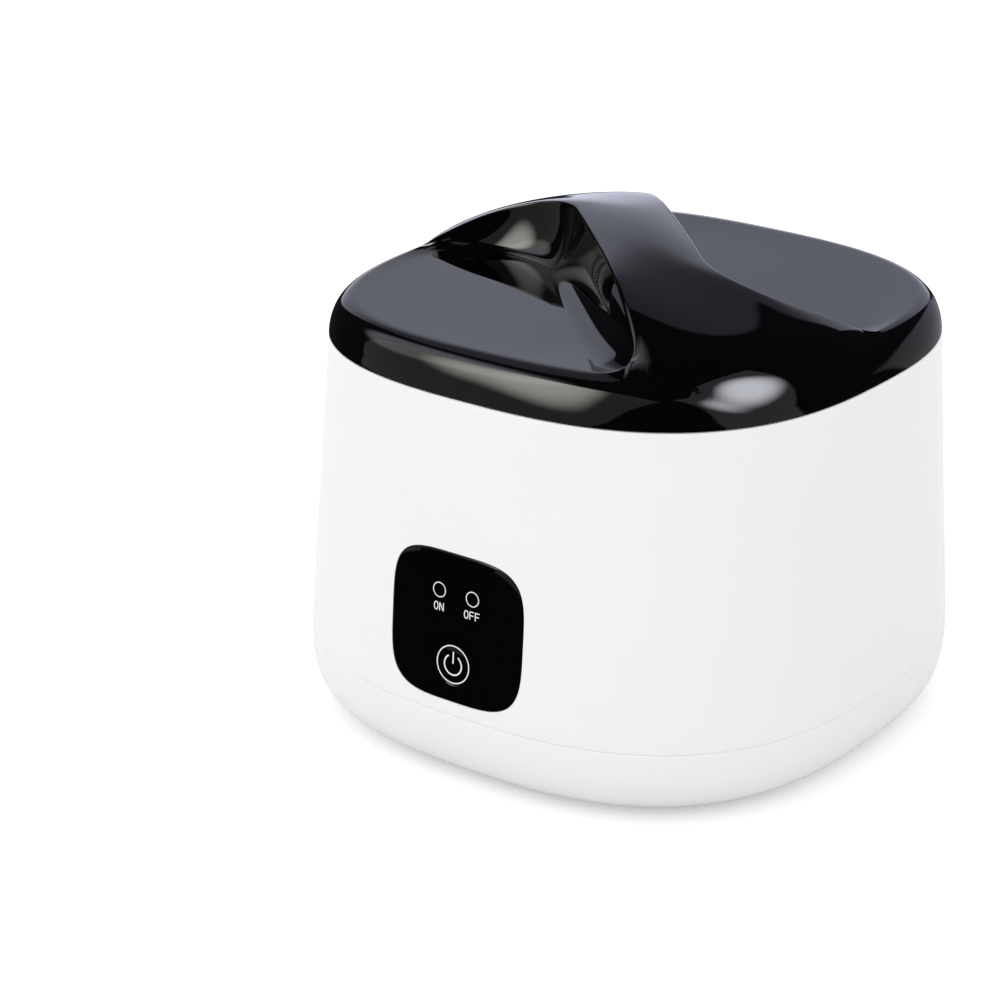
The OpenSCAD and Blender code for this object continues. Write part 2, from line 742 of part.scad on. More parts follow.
heater_tail_z = pan_floor - heater_t + 0.4;
function from_heater(r, side, z) =
    let (a = heater_tab_angle) [r * cos(a) - side * sin(a), r * sin(a) + side * cos(a), z];
module heater_leads() {
    color([0.85, 0.85, 0.82]) lead_pair([
        from_heater(heater_r + heater_tab - 1 + 0.2, 0, heater_tail_z), from_heater(heater_r + 8, 0, heater_tail_z - 1.5),
        from_heater(heater_r + 10, -2, heater_tail_z - 8), from_heater(heater_r + 2, -10, plug_top + 15),
        [heater_plug.x + 2, heater_plug.y + 2, plug_top + 9], [heater_plug.x, heater_plug.y, plug_top + 4],
        [heater_plug.x, heater_plug.y, plug_top]
    ], from_heater(0, heater_tab_y, 0), [-1.6, 0, 0]);
}

cable_y = -body_half(panel_z) - board_front + board_t + 3.5;
module panel_cable() {
    color([0.75, 0.75, 0.78]) lead([
        [-10, cable_y - 1.6, panel_z - 10], [-10, cable_y + 4, panel_z - 12], [-12, cable_y + 16, panel_z - 20],
        [-16, cable_y + 38, plug_top + 10], [panel_plug.x, panel_plug.y - 3, plug_top + 6],
        [panel_plug.x, panel_plug.y, plug_top + 3], [panel_plug.x, panel_plug.y, plug_top]
    ], 1.3);
}

// ---------- lid ----------
// The lid is one rounded dome. A bridge runs over it along a diagonal, and a scoop for the
// fingers is cut on each side of the bridge. The two sides are the same, half a turn apart.
// "off" is the depth below the outer face: 0 outside and lid_t inside.
lid_gap = 0.3;         // gap between the lid's edge and the housing
lid_rows = 24;         // steps along a scoop
bridge_cols = 10;      // steps across the bridge
wall_cols = 5;         // steps down a scoop's wall
floor_cols = 3;        // steps across a scoop's floor
band_cols = 6;         // steps down the band under the rim
edge_cols = 2;         // steps round a soft edge
edge_r = 1.2;
near_cut = 10;         // how far a scoop's near corner is rounded
far_cut = 6.5;         // how far its far corner is rounded
rim_turn = -63;        // angle at which the rim lies furthest in
shoulder_pow = 20;
shoulder_round = 1.6;
crest_pow = 3.5;       // shape of the slope along the bridge's edges
crown_pow = 2.3;       // shape of the slope along the bridge's middle line
arch_reach = 60;

function to_xy(u, w) = [(u - w) / sqrt(2), (-u - w) / sqrt(2)];
function u_of(p) = (p.x - p.y) / sqrt(2);
function w_of(p) = -(p.x + p.y) / sqrt(2);
function rim_rho(th, off) = half_top - off - rim_inset - rim_lean * cos(2 * (th - rim_turn));

// Height of the lid over a ring of size rho at angle th. "across" is 0 at the bridge's edges
// and 1 on its middle line.
function skin_z(rho, th, off, across = 0) =
    let (
        shoulder = pow(max(0, 1 - pow(rho / (half_top - off), shoulder_pow)), 1 / shoulder_round),
        reach = mix(rim_rho(th, 0), half_top, across),
        crest = max(0, 1 - pow((rho + off) / reach, mix(crest_pow, crown_pow, across)))
    )
        joint_z + lid_gap + (shoulder_h - off) * shoulder + bridge_h * crest;
function on_dome(p, off, across = 0) =
    [p.x, p.y, skin_z(squircle_rho(p, rim_n), atan2(p.y, p.x), off, across)];
function on_band(th, rho, off, across = 0) =
    let (
        low = rim_rho(th, off),
        n = mix(rim_n, plan_n, clamp01((rho - low) / (half_top - off - low))),
        r = squircle_r(rho, n, th)
    )
        [r * cos(th), r * sin(th), skin_z(rho, th, off, across)];
function rim_xy(th, off) = let (r = squircle_r(rim_rho(th, off), rim_n, th)) [r * cos(th), r * sin(th)];

// Angle at which the rim crosses the bridge's straight edge, and the flare's end, by halving.
function near_angle(off, lo = -100, hi = -45, n = 24) =
    let (m = (lo + hi) / 2)
        n == 0 ? m : w_of(rim_xy(m, off)) > bridge_half - off ? near_angle(off, m, hi, n - 1) : near_angle(off, lo, m, n - 1);
function far_angle(off, lo = -215, hi = -135, n = 24) =
    let (m = (lo + hi) / 2)
        n == 0 ? m : u_of(rim_xy(m, off)) < -(flare_start + flare_r) ? far_angle(off, m, hi, n - 1) : far_angle(off, lo, m, n - 1);

function bend3(a, k, b, s) = (1 - s) * (1 - s) * a + 2 * s * (1 - s) * k + s * s * b;

// Plan of the bridge's edge at step i: rounded corner, straight, flare, straight, rounded corner.
function bridge_edge(i, off) =
    let (
        b = bridge_half - off,
        fr = flare_r,
        near = rim_xy(near_angle(off), off),
        far = rim_xy(far_angle(off), off),
        arc = fr * PI / 2,
        run = u_of(near) - near_cut + flare_start,
        tail = w_of(far) - far_cut - b - fr,
        d = i / lid_rows * (near_cut + run + arc + tail + far_cut) - near_cut,
        near_in = to_xy(u_of(near) - near_cut, b),
        near_out = rim_xy(near_angle(off) - near_cut / norm(near) * 180 / PI, off),
        far_in = to_xy(-(flare_start + fr), w_of(far) - far_cut),
        far_out = rim_xy(far_angle(off) + far_cut / norm(far) * 180 / PI, off),
        a = (d - run) / fr * 180 / PI
    )
        d < 0 ? bend3(near_out, near, near_in, 0.5 + 0.5 * (1 + d / near_cut))
            : d < run ? to_xy(u_of(near) - near_cut - d, b)
            : d < run + arc ? to_xy(-flare_start - fr * sin(a), b + fr * (1 - cos(a)))
            : d < run + arc + tail ? to_xy(-(flare_start + fr), b + fr + d - run - arc)
            : bend3(far_in, far, far_out, 0.5 * (d - run - arc - tail) / far_cut);

// Plan of the scoop's outer rim at step i.
rim_start = 0.04;
function scoop_rim(i, off) =
    let (
        t = i / lid_rows,
        near = near_angle(off),
        far = far_angle(off),
        near_end = near - near_cut / norm(rim_xy(near, off)) * 180 / PI,
        far_end = far + far_cut / norm(rim_xy(far, off)) * 180 / PI,
        near_in = to_xy(u_of(rim_xy(near, off)) - near_cut, bridge_half - off),
        far_in = to_xy(-(flare_start + flare_r), w_of(rim_xy(far, off)) - far_cut)
    )
        t < rim_start ? bend3(near_in, rim_xy(near, off), rim_xy(near_end, off), 0.5 + 0.5 * t / rim_start)
            : t <= 1 - rim_start ? rim_xy(mix(near_end, far_end, (t - rim_start) / (1 - 2 * rim_start)), off)
            : bend3(rim_xy(far_end, off), rim_xy(far, off), far_in, 0.5 * (t - 1 + rim_start) / rim_start);

// One row of a scoop: over the bridge's soft edge, down the wall, across the floor, over the
// rim's soft edge and down the band to the joint.
function scoop_row(i, edges, rims, off) =
    let (
        e = edges[i],
        r = rims[i],
        across = -edges[lid_rows - i] - e,
        inward = across / norm(across),
        len = norm(r - e),
        out = len > 0 ? (r - e) / len : [0, 0],
        rho_r = squircle_rho(r, rim_n),
        ends = ease(min(i, lid_rows - i) / lid_rows / 0.08),
        th_r = atan2(r.y, r.x),
        z_r = skin_z(rho_r, th_r, off),
        dip = scoop_dip * ease(len / 35),
        z_e = on_dome(e, off).z,
        drop = z_e - z_r + dip,
        fillet = min(scoop_fillet, 0.6 * len),
        soft = edge_r * min(1, max(0, drop) / 8) * ends,
        lip = edge_r * ends,
        a0 = drop > 0 ? asin(min(0.5, soft / max(drop, 0.1))) : 0,
        wall_pt = function (a)
            let (x = fillet * (1 - cos(a)), p = e + out * x)
                [p.x, p.y, z_r - dip * (1 - pow(x / max(len, 0.01), 2)) + drop * (1 - sin(a))],
        floor_pt = function (x)
            let (p = e + out * x) [p.x, p.y, z_r - dip * (1 - pow(x / max(len, 0.01), 2))],
        edge_a = on_dome(e + inward * soft, off),
        edge_k = [e.x, e.y, z_e],
        edge_b = wall_pt(a0),
        rim_k = [r.x, r.y, z_r],
        lip_a = floor_pt(len - lip),
        rho_b = rho_r + lip,
        lip_b = i == 0 || i == lid_rows ? edge_k : on_band(th_r, rho_b, off)
    )
        i == 0 || i == lid_rows
            ? concat([for (k = [1:scoop_cols]) edge_k], band_points(th_r, rho_r, off))
            : concat(
                [for (k = [0:edge_cols]) k == 0 ? edge_a : bend3(edge_a, edge_k, edge_b, k / edge_cols)],
                [for (k = [1:wall_cols]) wall_pt(mix(a0, 90, k / wall_cols))],
                [for (k = [1:floor_cols]) floor_pt(mix(fillet, len - lip, k / floor_cols))],
                [for (k = [1:edge_cols]) k == edge_cols ? lip_b : bend3(lip_a, rim_k, lip_b, k / edge_cols)],
                band_points(th_r, rho_b, off)
            );
scoop_cols = 1 + edge_cols + wall_cols + floor_cols + edge_cols;

// Points down the band from a ring of size rho to the joint.
function band_points(th, rho, off, across = 0) =
    let (a = half_top - off, f0 = pow(max(0, 1 - pow(rho / a, shoulder_pow)), 1 / shoulder_round))
        [
            for (m = [1:band_cols])
                on_band(th, a * pow(1 - pow(f0 * (1 - m / band_cols), shoulder_round), 1 / shoulder_pow), off, across)
        ];

// One row across the bridge, from its right edge to its left edge.
function bridge_point(i, j, edges, ends_a, off) =
    let (
        v = j / bridge_cols,
        left = ends_a[i],
        right = turned(ends_a[lid_rows - i]),
        l0 = ends_a[0],
        r0 = turned(ends_a[lid_rows]),
        th = mix(atan2(r0.y, r0.x), atan2(l0.y, l0.x), v),
        rho = mix(squircle_rho(r0, rim_n), squircle_rho(l0, rim_n), v),
        rr = squircle_r(rho, rim_n, th),
        bulge = [rr * cos(th), rr * sin(th)] - mix([r0.x, r0.y], [l0.x, l0.y], v),
        fade = pow(1 - 2 * i / lid_rows, 2),
        p = mix([right.x, right.y], [left.x, left.y], v) + bulge * fade,
        across = 1 - pow(2 * v - 1, 2),
        arch = bridge_arch * across * (1 - ease(abs(u_of(p)) / arch_reach))
    )
        j == 0 ? right : j == bridge_cols ? left : on_dome(p, off, across) + [0, 0, arch];

function bridge_row(i, edges, ends_a, off) = [
    for (j = [0:bridge_cols])
        2 * i <= lid_rows
            ? bridge_point(i, j, edges, ends_a, off)
            : turned(bridge_point(lid_rows - i, bridge_cols - j, edges, ends_a, off))
];

function turned_grid(grid) = [for (row = grid) [for (p = row) turned(p)]];

// The patches of one face of the lid, and its edge at the joint.
function lid_face(off) =
    let (
        edges = [for (i = [0:lid_rows]) bridge_edge(i, off)],
        rims = [for (i = [0:lid_rows]) i == 0 || i == lid_rows ? edges[i] : scoop_rim(i, off)],
        scoop = [for (i = [0:lid_rows]) scoop_row(i, edges, rims, off)],
        ends_a = [for (i = [0:lid_rows]) scoop[i][0]],
        bridge = [for (i = [0:lid_rows]) bridge_row(i, edges, ends_a, off)],
        foot = [
            for (j = [0:bridge_cols])
                let (p = bridge[0][j], across = 1 - pow(2 * j / bridge_cols - 1, 2))
                    j == bridge_cols
                        ? concat([p], [for (m = [0:band_cols - 1]) scoop[0][scoop_cols + m]])
                        : j == 0
                        ? concat([p], [for (m = [0:band_cols - 1]) turned(scoop[lid_rows][scoop_cols + m])])
                        : concat([p], band_points(atan2(p.y, p.x), squircle_rho(p, rim_n), off, across))
        ]
    )
        [scoop, turned_grid(scoop), bridge, foot, turned_grid(foot)];

function last_of(row) = row[len(row) - 1];
function joint_ring(face) = concat(
    [for (row = face[0]) last_of(row)],
    [for (row = face[4]) last_of(row)],
    [for (row = face[1]) last_of(row)],
    [for (row = face[3]) last_of(row)]
);

liner_t = 2;
lid_side_gap = 0.8;    // gap round the liner inside the lid
liner_side_gap = 0.4;  // gap round the liner inside the housing
liner_z = joint_z - 2.1;
liner_half = half_top - max(lid_t + lid_side_gap, wall + liner_side_gap);
lid_boss_xy = 51.5;
lid_boss_r = 3.2;
lid_boss_z = liner_z + liner_t + seat;
rim_top = skin_z(rim_rho(-135, 0), -135, 0);
boss_edge = lid_boss_xy + lid_boss_r / sqrt(2);
foot_boss_top = on_dome([boss_edge, -boss_edge], 0).z - 0.5;

module at_feet_of_bridge() {
    for (s = [-1, 1]) translate([s * lid_boss_xy, -s * lid_boss_xy, 0]) children();
}

module at_scoops() {
    for (s = [-1, 1]) translate([s * lid_boss_xy, s * lid_boss_xy, 0]) children();
}

module lid_skin() {
    outer = lid_face(0);
    inner = lid_face(lid_t);
    patch_solid(concat(
        [for (g = outer) [g, false]],
        [for (g = inner) [g, true]],
        [[[joint_ring(outer), joint_ring(inner)], true]]
    ));
}

module lid_shell() {
    color([0.03, 0.03, 0.03]) difference() {
        union() {
            lid_skin();
            at_feet_of_bridge() translate([0, 0, lid_boss_z]) cylinder(r = lid_boss_r, h = foot_boss_top - lid_boss_z);
            at_scoops() translate([0, 0, lid_boss_z]) cylinder(r = lid_boss_r, h = rim_top - lid_t * 0.75 - lid_boss_z);
        }
        at_corners(lid_boss_xy) translate([0, 0, lid_boss_z - 1]) cylinder(r = hole_r, h = 7);
    }
}

skirt_t = 1.1;
skirt_h = 3;
module lid_liner() {
    color([0.1, 0.1, 0.1]) difference() {
        union() {
            plate(liner_half, liner_z, liner_t);
            difference() {
                plate(liner_half, liner_z - skirt_h, skirt_h + 0.1);
                plate(liner_half - skirt_t, liner_z - skirt_h - 1, skirt_h + 2);
            }
        }
        at_corners(lid_boss_xy) translate([0, 0, liner_z - 1]) cylinder(r = hole_r, h = liner_t + 2);
    }
}

gasket_in = bowl_rim_r + roll_r + 0.4;
module lid_gasket() {
    color([0.3, 0.3, 0.32]) tube(gasket_in + 1.5, gasket_in, deck_z + run_gap, liner_z - seat - deck_z - run_gap);
}

module lid_screws() {
    color("silver") at_corners(lid_boss_xy) translate([0, 0, liner_z - seat]) screw_up(liner_t + 5.5, 2.6, 2);
}

housing_shell();
base_tray();
rubber_feet();
base_screws();
top_deck();
deck_screws();
heating_pan();
pan_seal();
pan_screws();
soak_bowl();
heater_plate();
heat_pad();
heater_clamp();
clamp_screws();
insulation_sleeve();
thermostat();
thermal_fuse();
fuse_clip();
temperature_sensor();
panel_window();
window_tape();
power_button();
light_pipes();
indicator_leds();
button_switch();
switch_plunger();
panel_board();
panel_board_screws();
control_board();
control_board_screws();
board_connectors();
board_capacitor();
board_heat_sink();
dc_inlet();
inlet_nut();
inlet_leads();
heater_leads();
panel_cable();
lid_shell();
lid_liner();
lid_gasket();
lid_screws();
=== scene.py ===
# %% [markdown]
# # A heated soaking bowl for nails
# The machine is a white tub with a lift-off black lid. The measured model already holds every
# piece at its real size. This notebook gives it the looks of the real one: fine smooth skins for
# the large mouldings, printed marks on the dark window, and a finish for each material.
#
# Nothing in that frame is moved: a piece is either kept and given a finish, or replaced by a
# finer mesh in the same place.

# %% Load the frame
import json
import math

import bmesh
import bpy
import numpy as np
from mathutils import Matrix, Vector


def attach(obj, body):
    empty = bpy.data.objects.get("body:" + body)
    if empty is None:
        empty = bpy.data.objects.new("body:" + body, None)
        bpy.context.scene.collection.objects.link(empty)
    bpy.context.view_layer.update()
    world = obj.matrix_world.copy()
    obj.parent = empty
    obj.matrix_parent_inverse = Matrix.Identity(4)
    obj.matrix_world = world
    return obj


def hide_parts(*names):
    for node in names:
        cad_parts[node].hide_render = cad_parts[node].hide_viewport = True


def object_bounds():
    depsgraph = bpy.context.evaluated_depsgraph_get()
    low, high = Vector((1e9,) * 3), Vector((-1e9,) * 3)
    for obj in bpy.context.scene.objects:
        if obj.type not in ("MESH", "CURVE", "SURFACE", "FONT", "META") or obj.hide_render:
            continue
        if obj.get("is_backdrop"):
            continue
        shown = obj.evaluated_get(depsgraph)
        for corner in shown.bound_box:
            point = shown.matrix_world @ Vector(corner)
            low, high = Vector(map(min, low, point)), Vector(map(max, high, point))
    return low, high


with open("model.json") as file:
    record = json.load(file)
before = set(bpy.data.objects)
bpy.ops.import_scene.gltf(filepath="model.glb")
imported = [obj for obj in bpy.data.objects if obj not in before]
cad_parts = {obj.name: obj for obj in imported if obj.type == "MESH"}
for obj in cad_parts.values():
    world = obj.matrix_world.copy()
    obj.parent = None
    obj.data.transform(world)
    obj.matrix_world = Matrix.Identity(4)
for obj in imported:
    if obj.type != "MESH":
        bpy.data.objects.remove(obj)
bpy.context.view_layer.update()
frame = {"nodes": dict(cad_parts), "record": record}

MM = 0.001

# %% [markdown]
# ## The camera
# A camera can be placed by eye, by tracking an empty, or from numbers. Here the numbers are
# known: the outline of the tub in the picture gives the turn, the height and the distance, and
# the lens follows from how much the shape narrows with depth. A long lens this near keeps the
# sides almost parallel. The picture holds the tub right of its middle, so the camera looks past
# the tub's left side, and needs no lens shift.

# %% Place the camera
eye_turn, eye_rise, eye_far = math.radians(34.05), math.radians(21.05), 0.8426
eye_roll = math.radians(-1.268)
focal_px, off_px = 3084.0, (133.46, 48.69)
aim = Vector((0, 0, 0.070))

back = Vector((
    math.sin(eye_turn) * math.cos(eye_rise), -math.cos(eye_turn) * math.cos(eye_rise), math.sin(eye_rise),
))
level = Vector((math.cos(eye_turn), math.sin(eye_turn), 0))
rise = back.cross(level)
right = math.cos(eye_roll) * level - math.sin(eye_roll) * rise
up = math.sin(eye_roll) * level + math.cos(eye_roll) * rise
looks_to = (-back - right * off_px[0] / focal_px - up * off_px[1] / focal_px).normalized()
right = (right - looks_to * right.dot(looks_to)).normalized()
up = right.cross(looks_to)

camera = bpy.data.objects.new("camera", bpy.data.cameras.new("camera"))
bpy.context.scene.collection.objects.link(camera)
camera.data.sensor_width = 36
camera.data.lens = focal_px / 1000 * 36
place = Matrix((right, up, -looks_to)).transposed().to_4x4()
place.translation = aim + back * eye_far
camera.matrix_world = place
bpy.context.scene.camera = camera
print("lens in mm:", round(camera.data.lens, 1))

# %% [markdown]
# ## The sizes
# The skins below follow the same rules as the measured model, only with more points. So the same
# few sizes come first, in millimetres, with the same names.

# %% Sizes in millimetres
half_w, half_top = 81.4, 76.0
joint_z, wide_z, seam_z, base_z = 106.3, 24.2, 21.5, 1.0
plan_n, foot_round, foot_pow = 2.63, 25.6, 3.25
wall, fit = 2.6, 0.2
wall_tilt = math.atan((half_w - half_top) / (joint_z - wide_z))
panel_w, panel_h, panel_n, panel_rise = 41.9, 40.5, 4, 3.95
panel_z = seam_z + panel_rise + panel_h / 2
proud, window_t = 0.15, 1.6
button_r, button_drop, button_gap = 5.5, 9.9, 0.2
light_x, light_rise = 5.3, 9.4
print("window centre at", panel_z, "mm, wall leans", round(math.degrees(wall_tilt), 2), "degrees")

# %% [markdown]
# ## Rings of points
# Seen from above the tub is neither round nor square. Such an outline is called a squircle: one
# number says how square it is. A cylinder with bevelled corners would have a visible start and
# end of each corner, while here the curve never stops changing, which glossy plastic shows at
# once. The skin is a stack of these rings, and the side leans in towards the joint.

# %% Outline and side of the tub
AROUND = 320


def squircle_r(a, n, th):
    return a / (abs(math.cos(th)) ** n + abs(math.sin(th)) ** n) ** (1 / n)


def squircle_rho(x, y, n):
    return (abs(x) ** n + abs(y) ** n) ** (1 / n)


def ring(half, z, n=plan_n, count=AROUND):
    turn = [2 * math.pi * k / count for k in range(count)]
    return [(squircle_r(half, n, t) * math.cos(t), squircle_r(half, n, t) * math.sin(t), z) for t in turn]


def body_half(z):
    if z >= wide_z:
        return half_w + (half_top - half_w) * (z - wide_z) / (joint_z - wide_z)
    return half_w - foot_round * (1 - (1 - ((wide_z - z) / wide_z) ** foot_pow) ** (1 / foot_pow))


print("half widths:", [round(body_half(z), 2) for z in (base_z, seam_z, wide_z, joint_z)])

# %% [markdown]
# ## From points to pieces
# Each new piece needs the same few steps: a mesh, an object, a finish, a body to ride on, and the
# name of the node it stands for. Doubled points are welded, because a seam between two patches
# would show as a line in the gloss. Edges sharper than a set angle stay crisp and the rest is
# shaded smooth.

# %% Helpers that make a piece
pieces_made = []


def mesh_of(name, points, faces, crisp=35, weld=0.002):
    mesh = bpy.data.meshes.new(name)
    mesh.from_pydata([tuple(c * MM for c in p) for p in points], [], faces)
    mesh.update()
    tidy_mesh(mesh, crisp, weld)
    return mesh


def tidy_mesh(mesh, crisp=35, weld=0.002):
    work = bmesh.new()
    work.from_mesh(mesh)
    bmesh.ops.remove_doubles(work, verts=work.verts, dist=weld * MM)
    bmesh.ops.dissolve_degenerate(work, edges=work.edges, dist=weld * MM * 0.5)
    bmesh.ops.recalc_face_normals(work, faces=work.faces)
    work.to_mesh(mesh)
    work.free()
    mesh.shade_smooth()
    mesh.set_sharp_from_angle(angle=math.radians(crisp))


def add_piece(name, mesh, body, slot, stands_for=()):
    piece = bpy.data.objects.new(name, mesh)
    bpy.context.scene.collection.objects.link(piece)
    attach(piece, body)
    if stands_for:
        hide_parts(*stands_for)
    pieces_made.append((piece, slot))
    print(f"{name}: {len(mesh.polygons)} faces, rides on {body}")
    return piece


def loop_faces(rows, cols, closed_rows):
    """Faces of a skin through rows of points that each close on themselves."""
    faces = []
    for i in range(rows if closed_rows else rows - 1):
        low, high = i * cols, (i + 1) % rows * cols
        faces += [(low + k, low + (k + 1) % cols, high + (k + 1) % cols, high + k) for k in range(cols)]
    return faces


def cut_away(mesh, cutters, crisp=35):
    """Takes the cutters out of the mesh and returns what is left."""
    solid = bpy.data.objects.new("being_cut", mesh)
    bpy.context.scene.collection.objects.link(solid)
    tools = []
    for k, cutter in enumerate(cutters):
        tool = bpy.data.objects.new(f"cutter_{k}", cutter)
        bpy.context.scene.collection.objects.link(tool)
        change = solid.modifiers.new(f"cut_{k}", "BOOLEAN")
        change.operation, change.solver, change.object = "DIFFERENCE", "EXACT", tool
        tools.append(tool)
    bpy.context.view_layer.update()
    left = bpy.data.meshes.new_from_object(solid.evaluated_get(bpy.context.evaluated_depsgraph_get()))
    for o in [solid, *tools]:
        bpy.data.objects.remove(o)
    tidy_mesh(left, crisp, 0.0005)
    return left


def disc(r, count=96, x0=0.0, y0=0.0):
    turns = [2 * math.pi * k / count for k in range(count)]
    return [(x0 + r * math.cos(t), y0 + r * math.sin(t)) for t in turns]


def turned_profile(profile, count=128):
    """A closed solid from (radius, height) pairs that start and end on the axis."""
    inner = profile[1:-1]
    points = [(0, 0, profile[0][1])]
    for r, z in inner:
        points += [(x, y, z) for x, y in disc(r, count)]
    points.append((0, 0, profile[-1][1]))
    faces = [(1 + a, 1 + b, 1 + c, 1 + d) for a, b, c, d in loop_faces(len(inner), count, False)]
    faces += [(0, 1 + (k + 1) % count, 1 + k) for k in range(count)]
    top, base = len(points) - 1, 1 + (len(inner) - 1) * count
    faces += [(top, base + k, base + (k + 1) % count) for k in range(count)]
    return points, faces


print("helpers ready")

# %% [markdown]
# ## The front wall's own frame
# The dark window, the button and the printed marks all lie on the leaning front wall. It is
# easiest to draw them flat, as across, up and out, and to move them onto the wall in one place.
# The wall also curves a little from side to side, so the window sinks back with it.

# %% Places on the front and back wall
panel_half = body_half(panel_z)


def wall_sag(x):
    return panel_half - (panel_half ** plan_n - abs(x) ** plan_n) ** (1 / plan_n)


def on_front(x, y, out, z=panel_z):
    return (
        x,
        -body_half(z) + y * math.sin(wall_tilt) - out * math.cos(wall_tilt),
        z + y * math.cos(wall_tilt) + out * math.sin(wall_tilt),
    )


def on_back(x, y, out, z):
    px, py, pz = on_front(x, y, out, z)
    return (-px, -py, pz)


WINDOW_STEPS = 256


def panel_outline(grow):
    pts = []
    for k in range(WINDOW_STEPS):
        th = 2 * math.pi * k / WINDOW_STEPS
        r = squircle_r(1, panel_n, th)
        pts.append(((panel_w / 2 + grow) * r * math.cos(th), (panel_h / 2 + grow) * r * math.sin(th)))
    return pts


print("the window sinks", round(wall_sag(panel_w / 2), 2), "mm at its sides")

# %% [markdown]
# ## The white tub
# The tub is one injection moulding with a pocket for the window and a round hole for the power
# socket at the back. The skin runs up the outside and down the inside, with a small round on
# each rim, because no moulded edge is knife sharp and a round edge catches a thin line of light.
# The two holes are taken out with Boolean cuts, which keep the fine rings untouched elsewhere.

# %% Tub
EDGE = 0.28
RIM_ROUND = 0.45


def rounded(inset_from, z_edge, r, way, steps=5):
    """Inset and height along a quarter round; way is +1 when the edge is at the top."""
    pairs = []
    for k in range(steps + 1):
        a = math.pi / 2 * k / steps
        pairs.append((inset_from + r * (1 - math.cos(a)), z_edge - way * r * (1 - math.sin(a))))
    return pairs


def skin_ring(inset, z):
    return ring(body_half(z) - inset, z)


low_edge = [(i, z) for i, z in reversed(rounded(0, seam_z, EDGE, -1))]
side = [(0, z) for z in np.linspace(seam_z + EDGE + 1, joint_z - RIM_ROUND - 1, 40)]
high_edge = rounded(0, joint_z, RIM_ROUND, 1)
inner_edge = [(wall - 0.3, joint_z), (wall - 0.09, joint_z - 0.09), (wall, joint_z - 0.3)]
inner_side = [(wall, z) for z in np.linspace(joint_z - 6, seam_z, 8)]
tub_rows = [skin_ring(i, z) for i, z in low_edge + side + high_edge + inner_edge + inner_side]
tub_points = [p for row in tub_rows for p in row]
tub_skin = mesh_of("tub", tub_points, loop_faces(len(tub_rows), AROUND, True))


def slab(outline, out_low, out_high, place):
    """A straight prism over an outline, moved by place(x, y, out)."""
    n = len(outline)
    points = [place(x, y, out_low) for x, y in outline] + [place(x, y, out_high) for x, y in outline]
    faces = [(k, (k + 1) % n, n + (k + 1) % n, n + k) for k in range(n)]
    faces += [tuple(range(n))[::-1], tuple(range(n, 2 * n))]
    return mesh_of("slab", points, faces)


def inlet_place(x, y, out):
    return on_back(x, y, out, inlet_z)


inlet_z, inlet_seat_r, inlet_hole_r, inlet_seat_depth = 36.0, 5.9, 4.1, 1.2
window_gap, past_wall = 0.12, 6
tub_mesh = cut_away(tub_skin, [
    slab(panel_outline(window_gap), -past_wall, 4, on_front),
    slab(disc(inlet_seat_r), -inlet_seat_depth, 4, inlet_place),
    slab(disc(inlet_hole_r), -past_wall, 4, inlet_place),
])
add_piece("tub_moulding", tub_mesh, "base", "white_shell", ["housing_shell"])

# %% [markdown]
# ## The tray under the tub
# The underside curves in quickly to a flat base. Rings spaced evenly in height would leave that
# turn coarse, so they are packed towards the table. Four round recesses take the rubber feet.

# %% Tray
tray_side = [(0, base_z + (seam_z - EDGE - base_z) * (k / 36) ** 1.9) for k in range(37)]
tray_top = rounded(0, seam_z, EDGE, 1)
lip_out = body_half(seam_z) - wall - fit
lip_wall, lip_rise, lip_depth = 1.6, 3.0, 1.5
tray_rows = [skin_ring(i, z) for i, z in tray_side[:-1] + tray_top]
tray_rows += [ring(lip_out, seam_z), ring(lip_out, seam_z + lip_rise)]
tray_rows += [ring(lip_out - lip_wall, seam_z + lip_rise), ring(lip_out - lip_wall, seam_z - lip_depth)]
tray_rows += [ring(body_half(z) - wall - (2 if z < 6 else 0), z) for z in (17.5, 14, 10, 7.5, 5.5, 3.6)]
tray_points = [p for row in tray_rows for p in row]
tray_faces = loop_faces(len(tray_rows), AROUND, False)
tray_faces += [tuple(range(AROUND))[::-1], tuple(range(len(tray_points) - AROUND, len(tray_points)))]
tray_skin = mesh_of("tray", tray_points, tray_faces)
foot_at, recess_r, recess_top = 47, 8.2, 2.1
corners = [(x, y) for x in (-foot_at, foot_at) for y in (-foot_at, foot_at)]
recesses = [slab(disc(recess_r, 96, x, y), -2, recess_top, lambda *p: p) for x, y in corners]
tray_mesh = cut_away(tray_skin, recesses)
add_piece("tray_moulding", tray_mesh, "base", "white_shell", ["base_tray"])

# %% [markdown]
# ## The dark window
# The control panel is a thin plate of dark acrylic that follows the wall. A flat plate would
# stand off the wall at its sides. It is drawn as rings that shrink from the outline to the
# middle, and each point then sinks by the wall's own curve. The outer ring is bevelled, because
# the polished bevel is the thin pale line along its edge. The hole for the button has a small
# bevel as well.

# %% Window
BEVEL_W, BEVEL_H = 0.45, 0.22


def panel_place(x, y, out):
    return on_front(x, y, out - wall_sag(x))


